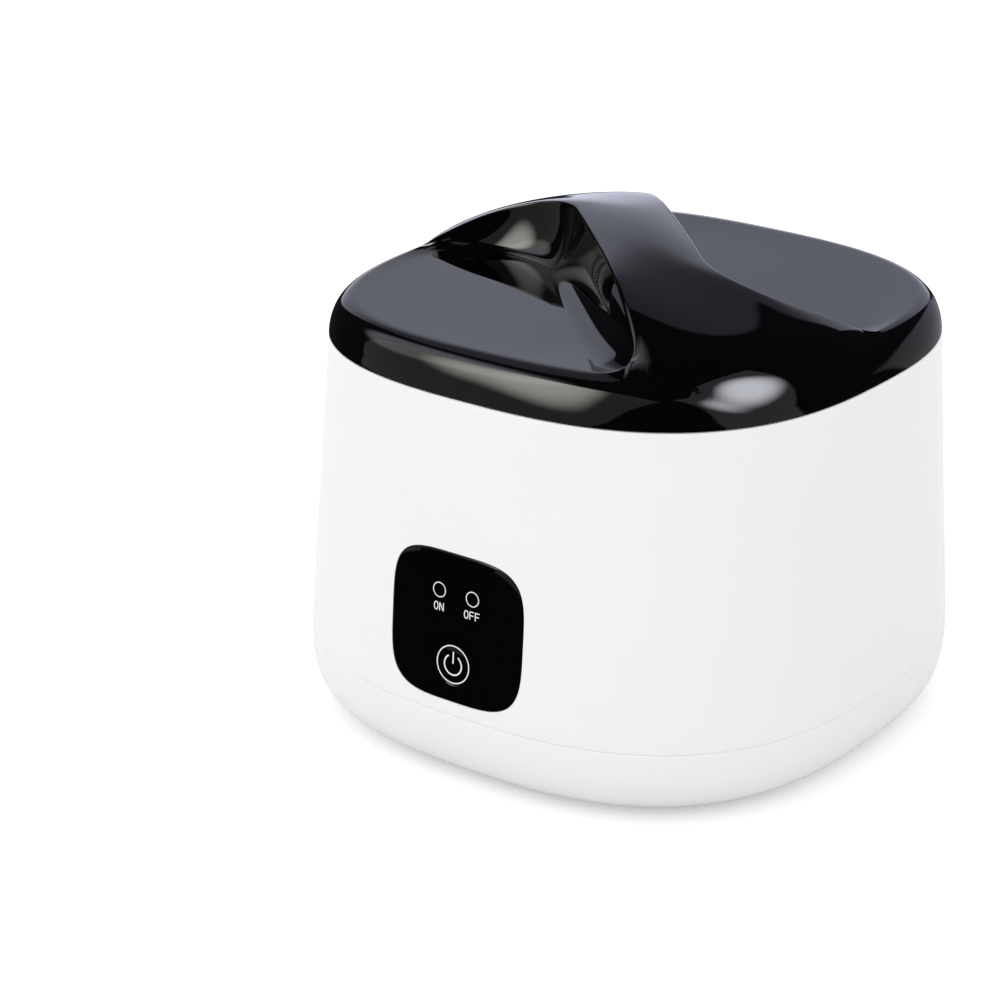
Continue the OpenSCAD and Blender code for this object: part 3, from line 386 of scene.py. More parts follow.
window_rows = [
    (0.0, proud - window_t), (0.0, proud - BEVEL_H), (-0.06, proud - BEVEL_H * 0.7), (-BEVEL_W, proud),
]
window_points, window_faces = [], []
for grow, out in window_rows:
    window_points += [panel_place(x, y, out) for x, y in panel_outline(grow)]
for share in (0.93, 0.86, 0.75, 0.6, 0.45, 0.3, 0.15):
    window_points += [panel_place(x * share, y * share, proud) for x, y in panel_outline(-BEVEL_W)]
n = WINDOW_STEPS
window_faces = loop_faces(len(window_points) // n, n, False)
last_ring = len(window_points) - n
window_points.append(panel_place(0, 0, proud))
window_faces += [(last_ring + k, last_ring + (k + 1) % n, last_ring + n) for k in range(n)]
back_start = len(window_points)
back_shares = (0.8, 0.5, 0.2)
for share in back_shares:
    window_points += [panel_place(x * share, y * share, proud - window_t) for x, y in panel_outline(0)]
window_faces += [(k, (k + 1) % n, back_start + (k + 1) % n, back_start + k) for k in range(n)]
window_faces += [tuple(back_start + v for v in f) for f in loop_faces(len(back_shares), n, False)]
back_ring, back_middle = len(window_points) - n, len(window_points)
window_points.append(panel_place(0, 0, proud - window_t))
window_faces += [(back_ring + k, back_ring + (k + 1) % n, back_middle) for k in range(n)]
window_skin = mesh_of("window", window_points, window_faces, crisp=20)

hole_r, hole_bevel = button_r + button_gap, 0.3
hole_wide = hole_r + hole_bevel
hole_profile = [
    (0, -6), (hole_r, -6), (hole_r, proud - 0.14), (hole_wide, proud + 0.16), (hole_wide, 3), (0, 3),
]
hole_points, hole_faces = turned_profile(hole_profile, 160)
hole_cutter = mesh_of("hole", [on_front(x, y - button_drop, z) for x, y, z in hole_points], hole_faces)
window_mesh = cut_away(window_skin, [hole_cutter], crisp=20)
add_piece("window_plate", window_mesh, "base", "panel_black", ["panel_window"])

# %% [markdown]
# ## The power button
# The key is a round cap that lies flush with the window and travels 0.6 mm. Only its face and a
# hairline gap show, but the whole cap is turned, with its flange and stem, so that it still looks
# right when it is pressed in.

# %% Button cap
stem_r, stem_end, flange_low, flange_top = 1.6, -3.58, -2.8, -1.65
flange_r, cap_round = button_r + 0.7, 0.12
cap_profile = [
    (0, stem_end), (stem_r, stem_end), (stem_r, flange_low), (flange_r, flange_low),
    (flange_r, flange_top), (button_r, flange_top), (button_r, proud - cap_round),
    (button_r - 0.035, proud - 0.035), (button_r - cap_round, proud), (0, proud),
]
cap_points, cap_faces = turned_profile(cap_profile, 160)
cap_mesh = mesh_of("cap", [on_front(x, y - button_drop, z) for x, y, z in cap_points], cap_faces, crisp=25)
add_piece("button_cap", cap_mesh, "button", "panel_black", ["power_button"])

# %% [markdown]
# ## Printed marks
# The white marks are screen printed, a few hundredths of a millimetre thick. They could be
# painted in the shader, but as thin pieces they stay crisp at any distance, and the ring and the
# power sign can ride on the button. Every mark is a ribbon: a line of points with a width and
# round ends. The two labels are the plain words ON and OFF.

# %% Ribbons
PRINT, PRINT_SUNK = 0.025, 0.01
END_STEPS = 8


def arc(x0, y0, rx, start, stop, steps=48, ry=None):
    ry = rx if ry is None else ry
    angles = [math.radians(start + (stop - start) * k / steps) for k in range(steps + 1)]
    return [(x0 + rx * math.cos(a), y0 + ry * math.sin(a)) for a in angles]


def ribbon(line, width, closed=False):
    """Outline points and faces of a flat line of this width."""
    n, left, right_side = len(line), [], []
    for k, (x, y) in enumerate(line):
        ax, ay = line[k - 1] if k or closed else line[0]
        bx, by = line[(k + 1) % n] if k < n - 1 or closed else line[-1]
        size = math.hypot(bx - ax, by - ay)
        nx, ny = -(by - ay) / size * width / 2, (bx - ax) / size * width / 2
        left.append((x + nx, y + ny))
        right_side.append((x - nx, y - ny))
    points = left + right_side
    faces = [(n + k, n + (k + 1) % n, (k + 1) % n, k) for k in range(n if closed else n - 1)]
    if not closed:
        for end, inside, first, last in ((0, 1, 0, n), (n - 1, n - 2, 2 * n - 1, n - 1)):
            x, y = line[end]
            turn = math.atan2(y - line[inside][1], x - line[inside][0]) - math.pi / 2
            start = len(points)
            for step in range(1, END_STEPS):
                a = turn + math.pi * step / END_STEPS
                points.append((x + width / 2 * math.cos(a), y + width / 2 * math.sin(a)))
            faces.append((first, *range(start, len(points)), last))
    return points, faces


def printed(name, lines, place, body, closed=False):
    """Thin raised ink from several (line, width) pairs."""
    points, faces = [], []
    for line, width in lines:
        flat_points, flat_faces = ribbon(line, width, closed)
        base, top = len(points), len(points) + len(flat_points)
        points += [place(x, y, proud - PRINT_SUNK) for x, y in flat_points]
        points += [place(x, y, proud + PRINT) for x, y in flat_points]
        edges = {}
        for f in flat_faces:
            faces.append(tuple(top + v for v in f))
            faces.append(tuple(base + v for v in reversed(f)))
            for a, b in zip(f, f[1:] + f[:1]):
                edges[(a, b)] = edges.get((a, b), 0) + 1
        for a, b in edges:
            if (b, a) not in edges:
                faces.append((base + a, base + b, top + b, top + a))
    mesh = mesh_of(name, points, faces, crisp=40, weld=0.0005)
    return add_piece(name, mesh, body, None)


def cap_place(x, y, out):
    return on_front(x, y - button_drop, out)


# %% Marks
button_ring_r, lamp_ring_r, sign_r = 5.1, 1.95, 2.75
ring_width, sign_width, thin_width = 0.32, 0.4, 0.27
button_ring = arc(0, 0, button_ring_r, 0, 360, 160)[:-1]
sign_arc, sign_bar = arc(0, -0.1, sign_r, 125, 415, 72), [(0, 0.4), (0, 1.6), (0, 3.35)]
printed("button_ring", [(button_ring, ring_width)], cap_place, "button", closed=True)
printed("power_sign", [(sign_arc, sign_width), (sign_bar, sign_width)], cap_place, "button")
for side_name, x in (("left", -light_x), ("right", light_x)):
    lamp_ring = arc(x, light_rise, lamp_ring_r, 0, 360, 96)[:-1]
    printed(f"lamp_ring_{side_name}", [(lamp_ring, thin_width)], panel_place, "base", closed=True)


def letter(shape, x, y, w, h):
    """Strokes of the letters that the two labels need, in a w by h box centred on x, y."""
    l, r, b, t = x - w / 2, x + w / 2, y - h / 2, y + h / 2
    if shape == "O":
        return [arc(x, y, w / 2, 0, 360, 48, h / 2)]
    if shape == "N":
        return [[(l, b), (l, t)], [(l, t), (r, b)], [(r, b), (r, t)]]
    return [[(l, b), (l, t)], [(l, t), (r, t)], [(l, y + h * 0.02), (r - w * 0.12, y + h * 0.02)]]


def label(name, word, x0):
    wide, high, step, below_lamp = 1.2, 2.1, 1.75, 4.5
    lines = []
    for k, shape in enumerate(word):
        x = x0 + (k - (len(word) - 1) / 2) * step
        strokes = letter(shape, x, light_rise - below_lamp, wide, high)
        lines += [(stroke, thin_width) for stroke in strokes]
    return printed(name, lines, panel_place, "base")


label("label_on", "ON", -light_x)
label("label_off", "OFF", light_x)

# %% [markdown]
# ## The lid
# The lid is the showpiece: a rounded dome with a bridge that runs over it from corner to corner,
# and a hollow for the fingers on each side. It could be sculpted, or made with a subdivision
# surface, but the gloss shows every bump, so each point is worked out. A hollow is a grid: its
# rows run from the bridge's edge down the wall, over the floor, round the rim and down the outer
# band. The other hollow is the same grid after half a turn. The inside follows the same rule at
# a depth of one wall, so the shell is closed.

# %% Lid sizes and the dome
rim_inset, rim_lean, rim_turn, rim_n, lid_gap = 8.4, 1.8, math.radians(-63), 2.77, 0.3
shoulder_h, shoulder_pow, shoulder_round = 11.0, 20, 1.6
bridge_h, bridge_arch, bridge_half = 15.4, 2.0, 12.6
crest_pow, crown_pow, arch_reach = 3.5, 2.3, 60
flare_start, flare_r = 23, 23
scoop_dip, scoop_fillet, lid_t = 0.8, 10, 2.2
edge_r, near_cut, far_cut = 1.2, 10, 6.5
ROWS, ACROSS, WALL, FLOOR, BAND, SOFT = 120, 48, 22, 14, 22, 6


def ease(x):
    c = min(1, max(0, x))
    return c * c * (3 - 2 * c)


def mix(a, b, t):
    return a + (b - a) * t


def rim_rho(th, off):
    return half_top - off - rim_inset - rim_lean * math.cos(2 * (th - rim_turn))


def skin_z(rho, th, off, across=0.0):
    """Height of the lid over a ring of size rho at angle th.

    across is 0 at the bridge's edges and 1 on its middle line.
    """
    shoulder = max(0, 1 - (rho / (half_top - off)) ** shoulder_pow) ** (1 / shoulder_round)
    reach = mix(rim_rho(th, 0), half_top, across)
    crest = max(0, 1 - ((rho + off) / reach) ** mix(crest_pow, crown_pow, across))
    return joint_z + lid_gap + (shoulder_h - off) * shoulder + bridge_h * crest


def to_xy(u, w):
    return np.array([(u - w) / math.sqrt(2), (-u - w) / math.sqrt(2)])


def u_of(p):
    return (p[0] - p[1]) / math.sqrt(2)


def w_of(p):
    return -(p[0] + p[1]) / math.sqrt(2)


def rim_xy(th, off):
    r = squircle_r(rim_rho(th, off), rim_n, th)
    return np.array([r * math.cos(th), r * math.sin(th)])


def on_dome(p, off, across=0.0):
    z = skin_z(squircle_rho(p[0], p[1], rim_n), math.atan2(p[1], p[0]), off, across)
    return np.array([p[0], p[1], z])


def on_band(th, rho, off, across=0.0):
    low, high = rim_rho(th, off), half_top - off
    r = squircle_r(rho, mix(rim_n, plan_n, min(1, max(0, (rho - low) / (high - low)))), th)
    return np.array([r * math.cos(th), r * math.sin(th), skin_z(rho, th, off, across)])


def halved(test, low, high):
    """The angle where the test turns from true to false, found by halving."""
    for _ in range(40):
        middle = (low + high) / 2
        low, high = (middle, high) if test(middle) else (low, middle)
    return (low + high) / 2


def near_angle(off):
    edge = bridge_half - off
    return halved(lambda th: w_of(rim_xy(th, off)) > edge, math.radians(-100), math.radians(-45))


def far_angle(off):
    edge = -(flare_start + flare_r)
    return halved(lambda th: u_of(rim_xy(th, off)) < edge, math.radians(-215), math.radians(-135))


print("lid top at", round(skin_z(0, 0, 0) + bridge_arch, 1), "mm")

# %% [markdown]
# ## The two edges of a finger hollow
# Seen from above, the bridge has two straight sides that flare out at one foot each, so that it
# reads as a flowing S. The edge is walked from the near corner, along the straight side, round
# the flare, to the far corner. The outer rim is walked the same way, so that step i of one edge
# always faces step i of the other, and both corners are rounded off.

# %% Plan of the bridge's edge and of the rim


def bend3(a, k, b, s):
    return (1 - s) ** 2 * a + 2 * s * (1 - s) * k + s * s * b


def bridge_edge(t, off):
    b, fr = bridge_half - off, flare_r
    near_a, far_a = near_angle(off), far_angle(off)
    near, far = rim_xy(near_a, off), rim_xy(far_a, off)
    arc_len, run = fr * math.pi / 2, u_of(near) - near_cut + flare_start
    tail = w_of(far) - far_cut - b - fr
    d = t * (near_cut + run + arc_len + tail + far_cut) - near_cut
    near_in = to_xy(u_of(near) - near_cut, b)
    near_out = rim_xy(near_a - near_cut / np.linalg.norm(near), off)
    far_in = to_xy(-(flare_start + fr), w_of(far) - far_cut)
    far_out = rim_xy(far_a + far_cut / np.linalg.norm(far), off)
    if d < 0:
        return bend3(near_out, near, near_in, 0.5 + 0.5 * (1 + d / near_cut))
    if d < run:
        return to_xy(u_of(near) - near_cut - d, b)
    if d < run + arc_len:
        a = (d - run) / fr
        return to_xy(-flare_start - fr * math.sin(a), b + fr * (1 - math.cos(a)))
    if d < run + arc_len + tail:
        return to_xy(-(flare_start + fr), b + fr + d - run - arc_len)
    return bend3(far_in, far, far_out, 0.5 * (d - run - arc_len - tail) / far_cut)


RIM_START = 0.04


def scoop_rim(t, off):
    near, far = near_angle(off), far_angle(off)
    near_xy, far_xy = rim_xy(near, off), rim_xy(far, off)
    near_end = near - near_cut / np.linalg.norm(near_xy)
    far_end = far + far_cut / np.linalg.norm(far_xy)
    if t < RIM_START:
        inner = to_xy(u_of(near_xy) - near_cut, bridge_half - off)
        return bend3(inner, near_xy, rim_xy(near_end, off), 0.5 + 0.5 * t / RIM_START)
    if t <= 1 - RIM_START:
        return rim_xy(mix(near_end, far_end, (t - RIM_START) / (1 - 2 * RIM_START)), off)
    inner = to_xy(-(flare_start + flare_r), w_of(far_xy) - far_cut)
    return bend3(rim_xy(far_end, off), far_xy, inner, 0.5 * (t - 1 + RIM_START) / RIM_START)


print("the bridge is", 2 * bridge_half, "mm wide where it is gripped")

# %% [markdown]
# ## Rows of the hollow and of the bridge
# A row starts on the bridge's soft edge, falls down the wall in a quarter of an ellipse, crosses
# the dished floor, turns over the rim's soft edge and runs down the band. The soft edges are
# small three-point bends, and they fade out where a row gets short at the corners.

# %% Rows of the lid


def band_points(th, rho, off, across=0.0):
    a = half_top - off
    f0 = max(0, 1 - (rho / a) ** shoulder_pow) ** (1 / shoulder_round)
    drops = [f0 * (1 - m / BAND) for m in range(1, BAND + 1)]
    sizes = [a * (1 - drop ** shoulder_round) ** (1 / shoulder_pow) for drop in drops]
    return [on_band(th, size, off, across) for size in sizes]


def scoop_row(i, edges, rims, off):
    e, r = edges[i], rims[i]
    corner = on_dome(e, off)
    rho_r, th_r = squircle_rho(*r, rim_n), math.atan2(r[1], r[0])
    z_e, z_r = corner[2], skin_z(rho_r, th_r, off)
    if i in (0, ROWS):
        return [corner] * (1 + SOFT + WALL + FLOOR + SOFT) + band_points(th_r, rho_r, off)
    across = -edges[ROWS - i] - e
    inward = across / np.linalg.norm(across)
    size = np.linalg.norm(r - e)
    out = (r - e) / size if size else np.zeros(2)
    ends = ease(min(i, ROWS - i) / ROWS / 0.08)
    dip = scoop_dip * ease(size / 35)
    drop = z_e - z_r + dip
    fillet = min(scoop_fillet, 0.6 * size)
    soft, lip = edge_r * min(1, max(0, drop) / 8) * ends, edge_r * ends
    a0 = math.asin(min(0.5, soft / max(drop, 0.1))) if drop > 0 else 0

    def floor_pt(x):
        return np.array([*(e + out * x), z_r - dip * (1 - (x / max(size, 0.01)) ** 2)])

    def wall_pt(a):
        return floor_pt(fillet * (1 - math.cos(a))) + np.array([0, 0, drop * (1 - math.sin(a))])

    edge_a, edge_b = on_dome(e + inward * soft, off), wall_pt(a0)
    lip_a, lip_b = floor_pt(size - lip), on_band(th_r, rho_r + lip, off)
    row = [bend3(edge_a, corner, edge_b, k / SOFT) for k in range(SOFT + 1)]
    row += [wall_pt(mix(a0, math.pi / 2, k / WALL)) for k in range(1, WALL + 1)]
    row += [floor_pt(mix(fillet, size - lip, k / FLOOR)) for k in range(1, FLOOR + 1)]
    row += [bend3(lip_a, np.array([r[0], r[1], z_r]), lip_b, k / SOFT) for k in range(1, SOFT + 1)]
    return row + band_points(th_r, rho_r + lip, off)


def half_turned(p):
    return np.array([-p[0], -p[1], p[2]])


def bridge_point(i, j, starts, off):
    v = j / ACROSS
    left, right_p = starts[i], half_turned(starts[ROWS - i])
    if j == 0:
        return right_p
    if j == ACROSS:
        return left
    l0, r0 = starts[0], half_turned(starts[ROWS])
    th = mix(math.atan2(r0[1], r0[0]), math.atan2(l0[1], l0[0]), v)
    rr = squircle_r(mix(squircle_rho(r0[0], r0[1], rim_n), squircle_rho(l0[0], l0[1], rim_n), v), rim_n, th)
    bulge = np.array([rr * math.cos(th), rr * math.sin(th)]) - mix(r0[:2], l0[:2], v)
    p = mix(right_p[:2], left[:2], v) + bulge * (1 - 2 * i / ROWS) ** 2
    across = 1 - (2 * v - 1) ** 2
    arch = bridge_arch * across * (1 - ease(abs(u_of(p)) / arch_reach))
    return on_dome(p, off, across) + np.array([0, 0, arch])


def lid_grids(off):
    edges = [bridge_edge(i / ROWS, off) for i in range(ROWS + 1)]
    rims = [edges[i] if i in (0, ROWS) else scoop_rim(i / ROWS, off) for i in range(ROWS + 1)]
    scoop = [scoop_row(i, edges, rims, off) for i in range(ROWS + 1)]
    starts = [row[0] for row in scoop]

    def bridge_row(i):
        if 2 * i <= ROWS:
            return [bridge_point(i, j, starts, off) for j in range(ACROSS + 1)]
        return [half_turned(bridge_point(ROWS - i, ACROSS - j, starts, off)) for j in range(ACROSS + 1)]

    def turn(grid):
        return [[half_turned(p) for p in row] for row in grid]

    bridge = [bridge_row(i) for i in range(ROWS + 1)]
    foot = []
    for j, p in enumerate(bridge[0]):
        if j == ACROSS:
            foot.append([p] + scoop[0][-BAND:])
        elif j == 0:
            foot.append([p] + [half_turned(q) for q in scoop[ROWS][-BAND:]])
        else:
            rho, across = squircle_rho(p[0], p[1], rim_n), 1 - (2 * (j / ACROSS) - 1) ** 2
            foot.append([p] + band_points(math.atan2(p[1], p[0]), rho, off, across))
    return [scoop, turn(scoop), bridge, foot, turn(foot)]


def joint_ring(grids):
    return [row[-1] for k in (0, 4, 1, 3) for row in grids[k]]


outer, inner = lid_grids(0), lid_grids(lid_t)
rim_strip = [list(pair) for pair in zip(joint_ring(outer), joint_ring(inner))]
rim_strip.append(rim_strip[0])
lid_points, lid_faces = [], []
for grid in [*outer, *inner, rim_strip]:
    start, cols = len(lid_points), len(grid[0])
    lid_points += [tuple(p) for row in grid for p in row]
    for low in range(start, start + (len(grid) - 1) * cols, cols):
        high = low + cols
        lid_faces += [(low + j, low + j + 1, high + j + 1, high + j) for j in range(cols - 1)]
print("lid skin:", len(lid_points), "points")

# %% Lid
lid_mesh = mesh_of("lid", lid_points, lid_faces, crisp=50, weld=0.004)
add_piece("lid_dome", lid_mesh, "lid", "lid_black", ["lid_shell"])

# %% [markdown]
# ## Shader maths in plain Python
# A finish is a small sum: a grain here, a band there, one taken from the other. Wiring that by
# hand takes dozens of nodes. The class below wraps one socket, and Python's own signs then add
# the Math nodes. Any other node comes from its one method, which takes the node's type, its
# settings and what goes into its sockets.

# %% A socket that can be reckoned with


class Signal:
    """One output of a node tree."""

    def __init__(self, tree, socket=None):
        self.tree, self.socket = tree, socket

    def node(self, kind, settings=None, sockets=None, out=0):
        made = self.tree.nodes.new(kind)
        for key, value in (settings or {}).items():
            setattr(made, key, value)
        for key, value in (sockets or {}).items():
            if isinstance(value, Signal):
                self.tree.links.new(value.socket, made.inputs[key])
            else:
                made.inputs[key].default_value = value
        return Signal(self.tree, made.outputs[out])

    def reckon(self, operation, a, b=0.0):
        return self.node("ShaderNodeMath", {"operation": operation}, {0: a, 1: b})

    def __add__(self, other):
        return self.reckon("ADD", self, other)

    def __sub__(self, other):
        return self.reckon("SUBTRACT", self, other)

    def __rsub__(self, other):
        return self.reckon("SUBTRACT", other, self)

    def __mul__(self, other):
        return self.reckon("MULTIPLY", self, other)

    def __truediv__(self, other):
        return self.reckon("DIVIDE", self, other)

    __radd__, __rmul__ = __add__, __mul__


def spread(value, low, high, to_low=0.0, to_high=1.0):
    """Maps low..high smoothly to another range and holds it there."""
    sockets = {"Value": value, "From Min": low, "From Max": high, "To Min": to_low, "To Max": to_high}
    return value.node("ShaderNodeMapRange", {"interpolation_type": "SMOOTHSTEP"}, sockets)


def grain(where, size_mm, detail=2.0, stretch=(1, 1, 1)):
    """Noise whose blotches are about this many millimetres across, from 0 to 1."""
    scale = tuple(s / (size_mm * MM) for s in stretch)
    moved = where.node("ShaderNodeMapping", {}, {"Vector": where, "Scale": scale})
    return moved.node("ShaderNodeTexNoise", {}, {"Vector": moved, "Scale": 1.0, "Detail": detail})


def blend(share, a, b):
    """A colour between a and b."""
    a, b = [(*colour, 1) if isinstance(colour, tuple) else colour for colour in (a, b)]
    return share.node("ShaderNodeMix", {"data_type": "RGBA"}, {"Factor": share, 6: a, 7: b}, 2)


def relief(height, depth_mm):
    """A normal from a height of 0 to 1 that stands for this depth."""
    sockets = {"Height": height, "Distance": depth_mm * MM, "Strength": 1.0}
    return height.node("ShaderNodeBump", {}, sockets, "Normal")


def finish(name, steady, varying):
    """A material from steady numbers, and from varying(where) for what changes over the surface."""
    material = bpy.data.materials.new(name)
    material.use_nodes = True
    tree = material.node_tree
    shader = tree.nodes["Principled BSDF"]
    for key, value in steady.items():
        shader.inputs[key].default_value = (*value, 1) if isinstance(value, tuple) else value
    where = Signal(tree).node("ShaderNodeTexCoord", out="Object")
    for key, value in varying(where).items():
        tree.links.new(value.socket, shader.inputs[key])
    return material


print("shader helpers ready")

# %% [markdown]
# ## Moulded plastic
# Injection-moulded plastic takes the surface of its steel mould. Polished steel gives the tub a
# gloss with a very faint ripple, like orange peel, and eroded steel gives inner parts a fine
# satin grain. Both come from noise: a coarse one bends the reflections, a fine one changes the
# roughness, and the colour hardly moves.

# %% Plastics


def shade(colour, by):
    return tuple(min(1.0, c * by) for c in colour)


def moulded(name, colour, rough, ripple_mm=9, ripple_depth=0.006, grain_mm=0.35, grain_depth=0.0, **more):
    def varying(where):
        ripple, fine = grain(where, ripple_mm, 1.0), grain(where, grain_mm, 3.0)
        cloud = grain(where, 30, 2.0)
        depth = ripple_depth + grain_depth
        bump = ripple * (ripple_depth / depth) + fine * (grain_depth / depth)
        return {
            "Base Color": blend(cloud * 0.7 + fine * 0.3, shade(colour, 0.985), shade(colour, 1.012)),
            "Roughness": fine * rough * 0.25 + cloud * rough * 0.2 + rough * 0.77,
            "Normal": relief(bump, depth),
        }
    return finish(name, {"IOR": 1.46, **more}, varying)


def mirror(name, colour, ripple_mm, ripple_depth):
    """Polished black plastic: a perfectly sharp gloss over a colour that hardly varies."""
    def varying(where):
        ripple, cloud = grain(where, ripple_mm, 1.0), grain(where, 30, 2.0)
        return {
            "Base Color": blend(cloud, shade(colour, 0.8), shade(colour, 1.2)),
            "Normal": relief(ripple, ripple_depth),
        }
    return finish(name, {"IOR": 1.46, "Roughness": 0.0}, varying)


finishes = {
    "white_shell": moulded("glossy white plastic", (0.885, 0.89, 0.905), 0.2),
    "white_deck": moulded("satin white plastic", (0.84, 0.845, 0.86), 0.4, grain_mm=0.25, grain_depth=0.01),
    "lid_black": mirror("mirror black plastic", (0.0009, 0.0009, 0.0011), 16, 0.002),
    "liner_black": moulded(
        "satin black plastic", (0.016, 0.016, 0.018), 0.32, grain_mm=0.3, grain_depth=0.012,
    ),
    "panel_black": mirror("dark acrylic", (0.0009, 0.0009, 0.001), 22, 0.001),
    "inlet_black": moulded("black nylon", (0.02, 0.02, 0.021), 0.42, grain_mm=0.3, grain_depth=0.008),
    "switch_black": moulded("switch housing", (0.025, 0.025, 0.027), 0.5, grain_mm=0.2, grain_depth=0.006),
    "thermostat_plastic": moulded(
        "phenolic resin", (0.05, 0.045, 0.042), 0.45, grain_mm=0.4, grain_depth=0.01,
    ),
    "plunger_plastic": moulded("ivory nylon", (0.78, 0.77, 0.72), 0.4, grain_mm=0.2, grain_depth=0.004),
    "connector_nylon": moulded(
        "natural nylon", (0.8, 0.78, 0.7), 0.45, grain_mm=0.3, grain_depth=0.006,
        **{"Subsurface Weight": 0.05},
    ),
    "light_pipe_clear": moulded("clear acrylic", (0.9, 0.92, 0.95), 0.05, **{"Transmission Weight": 0.85}),
    "led_resin": moulded("clear resin", (0.85, 0.88, 0.84), 0.12, **{"Transmission Weight": 0.6}),
    "capacitor_sleeve": moulded("shrink sleeve", (0.03, 0.06, 0.2), 0.25, ripple_mm=3, ripple_depth=0.02),
}
print(len(finishes), "plastics")

# %% [markdown]
# ## Metals
# Spun metal carries fine rings from the tool that formed it, drawn wire and screws carry short
# random scratches, and sheet has a grain in one direction. The rings need the distance from the
# axis, which Vector Math's length gives once the height is taken out. Metals here differ only in
# colour, roughness and the shape of those scratches.

# %% Metals


def spun(name, colour, rough, ring_mm=0.22, depth=0.004):
    def varying(where):
        plane = where.node("ShaderNodeVectorMath", {"operation": "MULTIPLY"}, {0: where, 1: (1, 1, 0)})
        radius = plane.node("ShaderNodeVectorMath", {"operation": "LENGTH"}, {0: plane}, "Value")
        height = where.node("ShaderNodeSeparateXYZ", {}, {0: where}, "Z")
        track = radius.node("ShaderNodeCombineXYZ", {}, {"X": radius, "Y": height})
        rings, cloud = grain(track, ring_mm, 3.0), grain(where, 14, 2.0)
        return {
            "Base Color": blend(rings * 0.6 + cloud * 0.4, shade(colour, 0.93), shade(colour, 1.04)),
            "Roughness": rings * rough * 0.5 + cloud * rough * 0.25 + rough * 0.6,
            "Normal": relief(rings, depth),
        }
    return finish(name, {"Metallic": 1.0}, varying)


def drawn(name, colour, rough, stretch=(1, 1, 6), scratch_mm=0.25, depth=0.004, dull=0.12):
    def varying(where):
        scratch, cloud = grain(where, scratch_mm, 3.0, stretch), grain(where, 5, 3.0)
        stain = spread(cloud, 0.45, 0.75) * dull
        return {
            "Base Color": blend(stain + scratch * 0.1, shade(colour, 1.02), shade(colour, 0.72)),
            "Roughness": scratch * rough * 0.4 + stain + rough * 0.7,
            "Normal": relief(scratch, depth),
        }
    return finish(name, {"Metallic": 1.0}, varying)


finishes |= {
    "bowl_steel": spun("polished spun steel", (0.52, 0.525, 0.535), 0.16),
    "pan_aluminium": spun("spun aluminium", (0.76, 0.765, 0.77), 0.3, ring_mm=0.35, depth=0.007),
    "screw_steel": drawn("zinc-plated steel", (0.62, 0.62, 0.64), 0.28),
    "clamp_steel": drawn("pressed steel", (0.55, 0.55, 0.57), 0.34, stretch=(8, 1, 1)),
    "fuse_metal": drawn("tinned metal", (0.7, 0.7, 0.69), 0.25, stretch=(6, 1, 1)),
    "sensor_brass": drawn("brass", (0.72, 0.55, 0.25), 0.3),
    "heat_sink_aluminium": drawn("black anodised aluminium", (0.07, 0.07, 0.075), 0.4, stretch=(1, 1, 5)),
}
print(len(finishes), "finishes so far")

# %% [markdown]
# ## Rubber, felt, ceramic and the boards
# Rubber and silicone are matt with a dusty sheen. Felt is a mat of fibres, so a stretched noise
# in two directions raises it. The ceramic heater is glazed but speckled. A circuit board is
# green solder mask over copper tracks, which show as slightly raised, paler bands: a brick
# pattern with thin joints gives straight tracks that turn at right angles.

# %% Soft and board finishes


def rubbery(name, colour, rough, speck_mm=0.4, depth=0.01, **more):
    def varying(where):
        speck, cloud = grain(where, speck_mm, 3.0), grain(where, 7, 3.0)
        dust = spread(cloud, 0.35, 0.7) * 0.6 + speck * 0.4
        return {
            "Base Color": blend(dust, shade(colour, 0.9), shade(colour, 1.12)),
            "Roughness": speck * 0.12 + cloud * 0.08 + (rough - 0.1),
            "Normal": relief(speck, depth),
        }
    return finish(name, {"IOR": 1.5, **more}, varying)


def felted(name, colour):
    def varying(where):
        fibres = grain(where, 0.5, 4.0, (1, 1, 5)) * 0.5 + grain(where, 0.5, 4.0, (5, 5, 1)) * 0.5
        return {
            "Base Color": blend(spread(fibres, 0.35, 0.65), shade(colour, 0.78), shade(colour, 1.12)),
            "Roughness": fibres * 0.15 + 0.8,
            "Normal": relief(fibres, 0.15),
        }
    return finish(name, {"Sheen Weight": 0.25}, varying)


def circuit(name):
    def varying(where):
        sockets = {"Vector": where, "Scale": 160.0, "Mortar Size": 0.045, "Mortar Smooth": 0.2}
        tracks = where.node("ShaderNodeTexBrick", {"offset": 0.5}, sockets, "Fac")
        weave = grain(where, 0.6, 2.0)
        return {
            "Base Color": blend(tracks * 0.75 + weave * 0.15, (0.012, 0.09, 0.04), (0.05, 0.24, 0.1)),
            "Roughness": weave * 0.12 + 0.26,
            "Normal": relief(tracks * 0.8 + weave * 0.2, 0.05),
        }
    return finish(name, {"IOR": 1.5}, varying)


finishes |= {
    "foot_rubber": rubbery("black rubber", (0.022, 0.022, 0.023), 0.78),
    "seal_silicone": rubbery("grey silicone", (0.32, 0.33, 0.35), 0.5, **{"Subsurface Weight": 0.08}),
    "heat_pad_silicone": rubbery("silicone fibre pad", (0.74, 0.71, 0.64), 0.75, speck_mm=0.8, depth=0.04),
    "tape_black": rubbery("foam tape", (0.02, 0.02, 0.02), 0.85, speck_mm=0.25, depth=0.03),
    "lead_red": rubbery("red lead", (0.48, 0.02, 0.02), 0.42),
    "lead_white": rubbery("white lead", (0.74, 0.73, 0.7), 0.48),
    "cable_grey": rubbery("grey cable", (0.28, 0.28, 0.3), 0.5),
    "heater_ceramic": rubbery(
        "glazed ceramic", (0.74, 0.71, 0.62), 0.32, speck_mm=0.6, depth=0.01, **{"Coat Weight": 0.3},
    ),
    "sleeve_felt": felted("glass felt", (0.62, 0.6, 0.56)),
    "board_green": circuit("green board"),
}
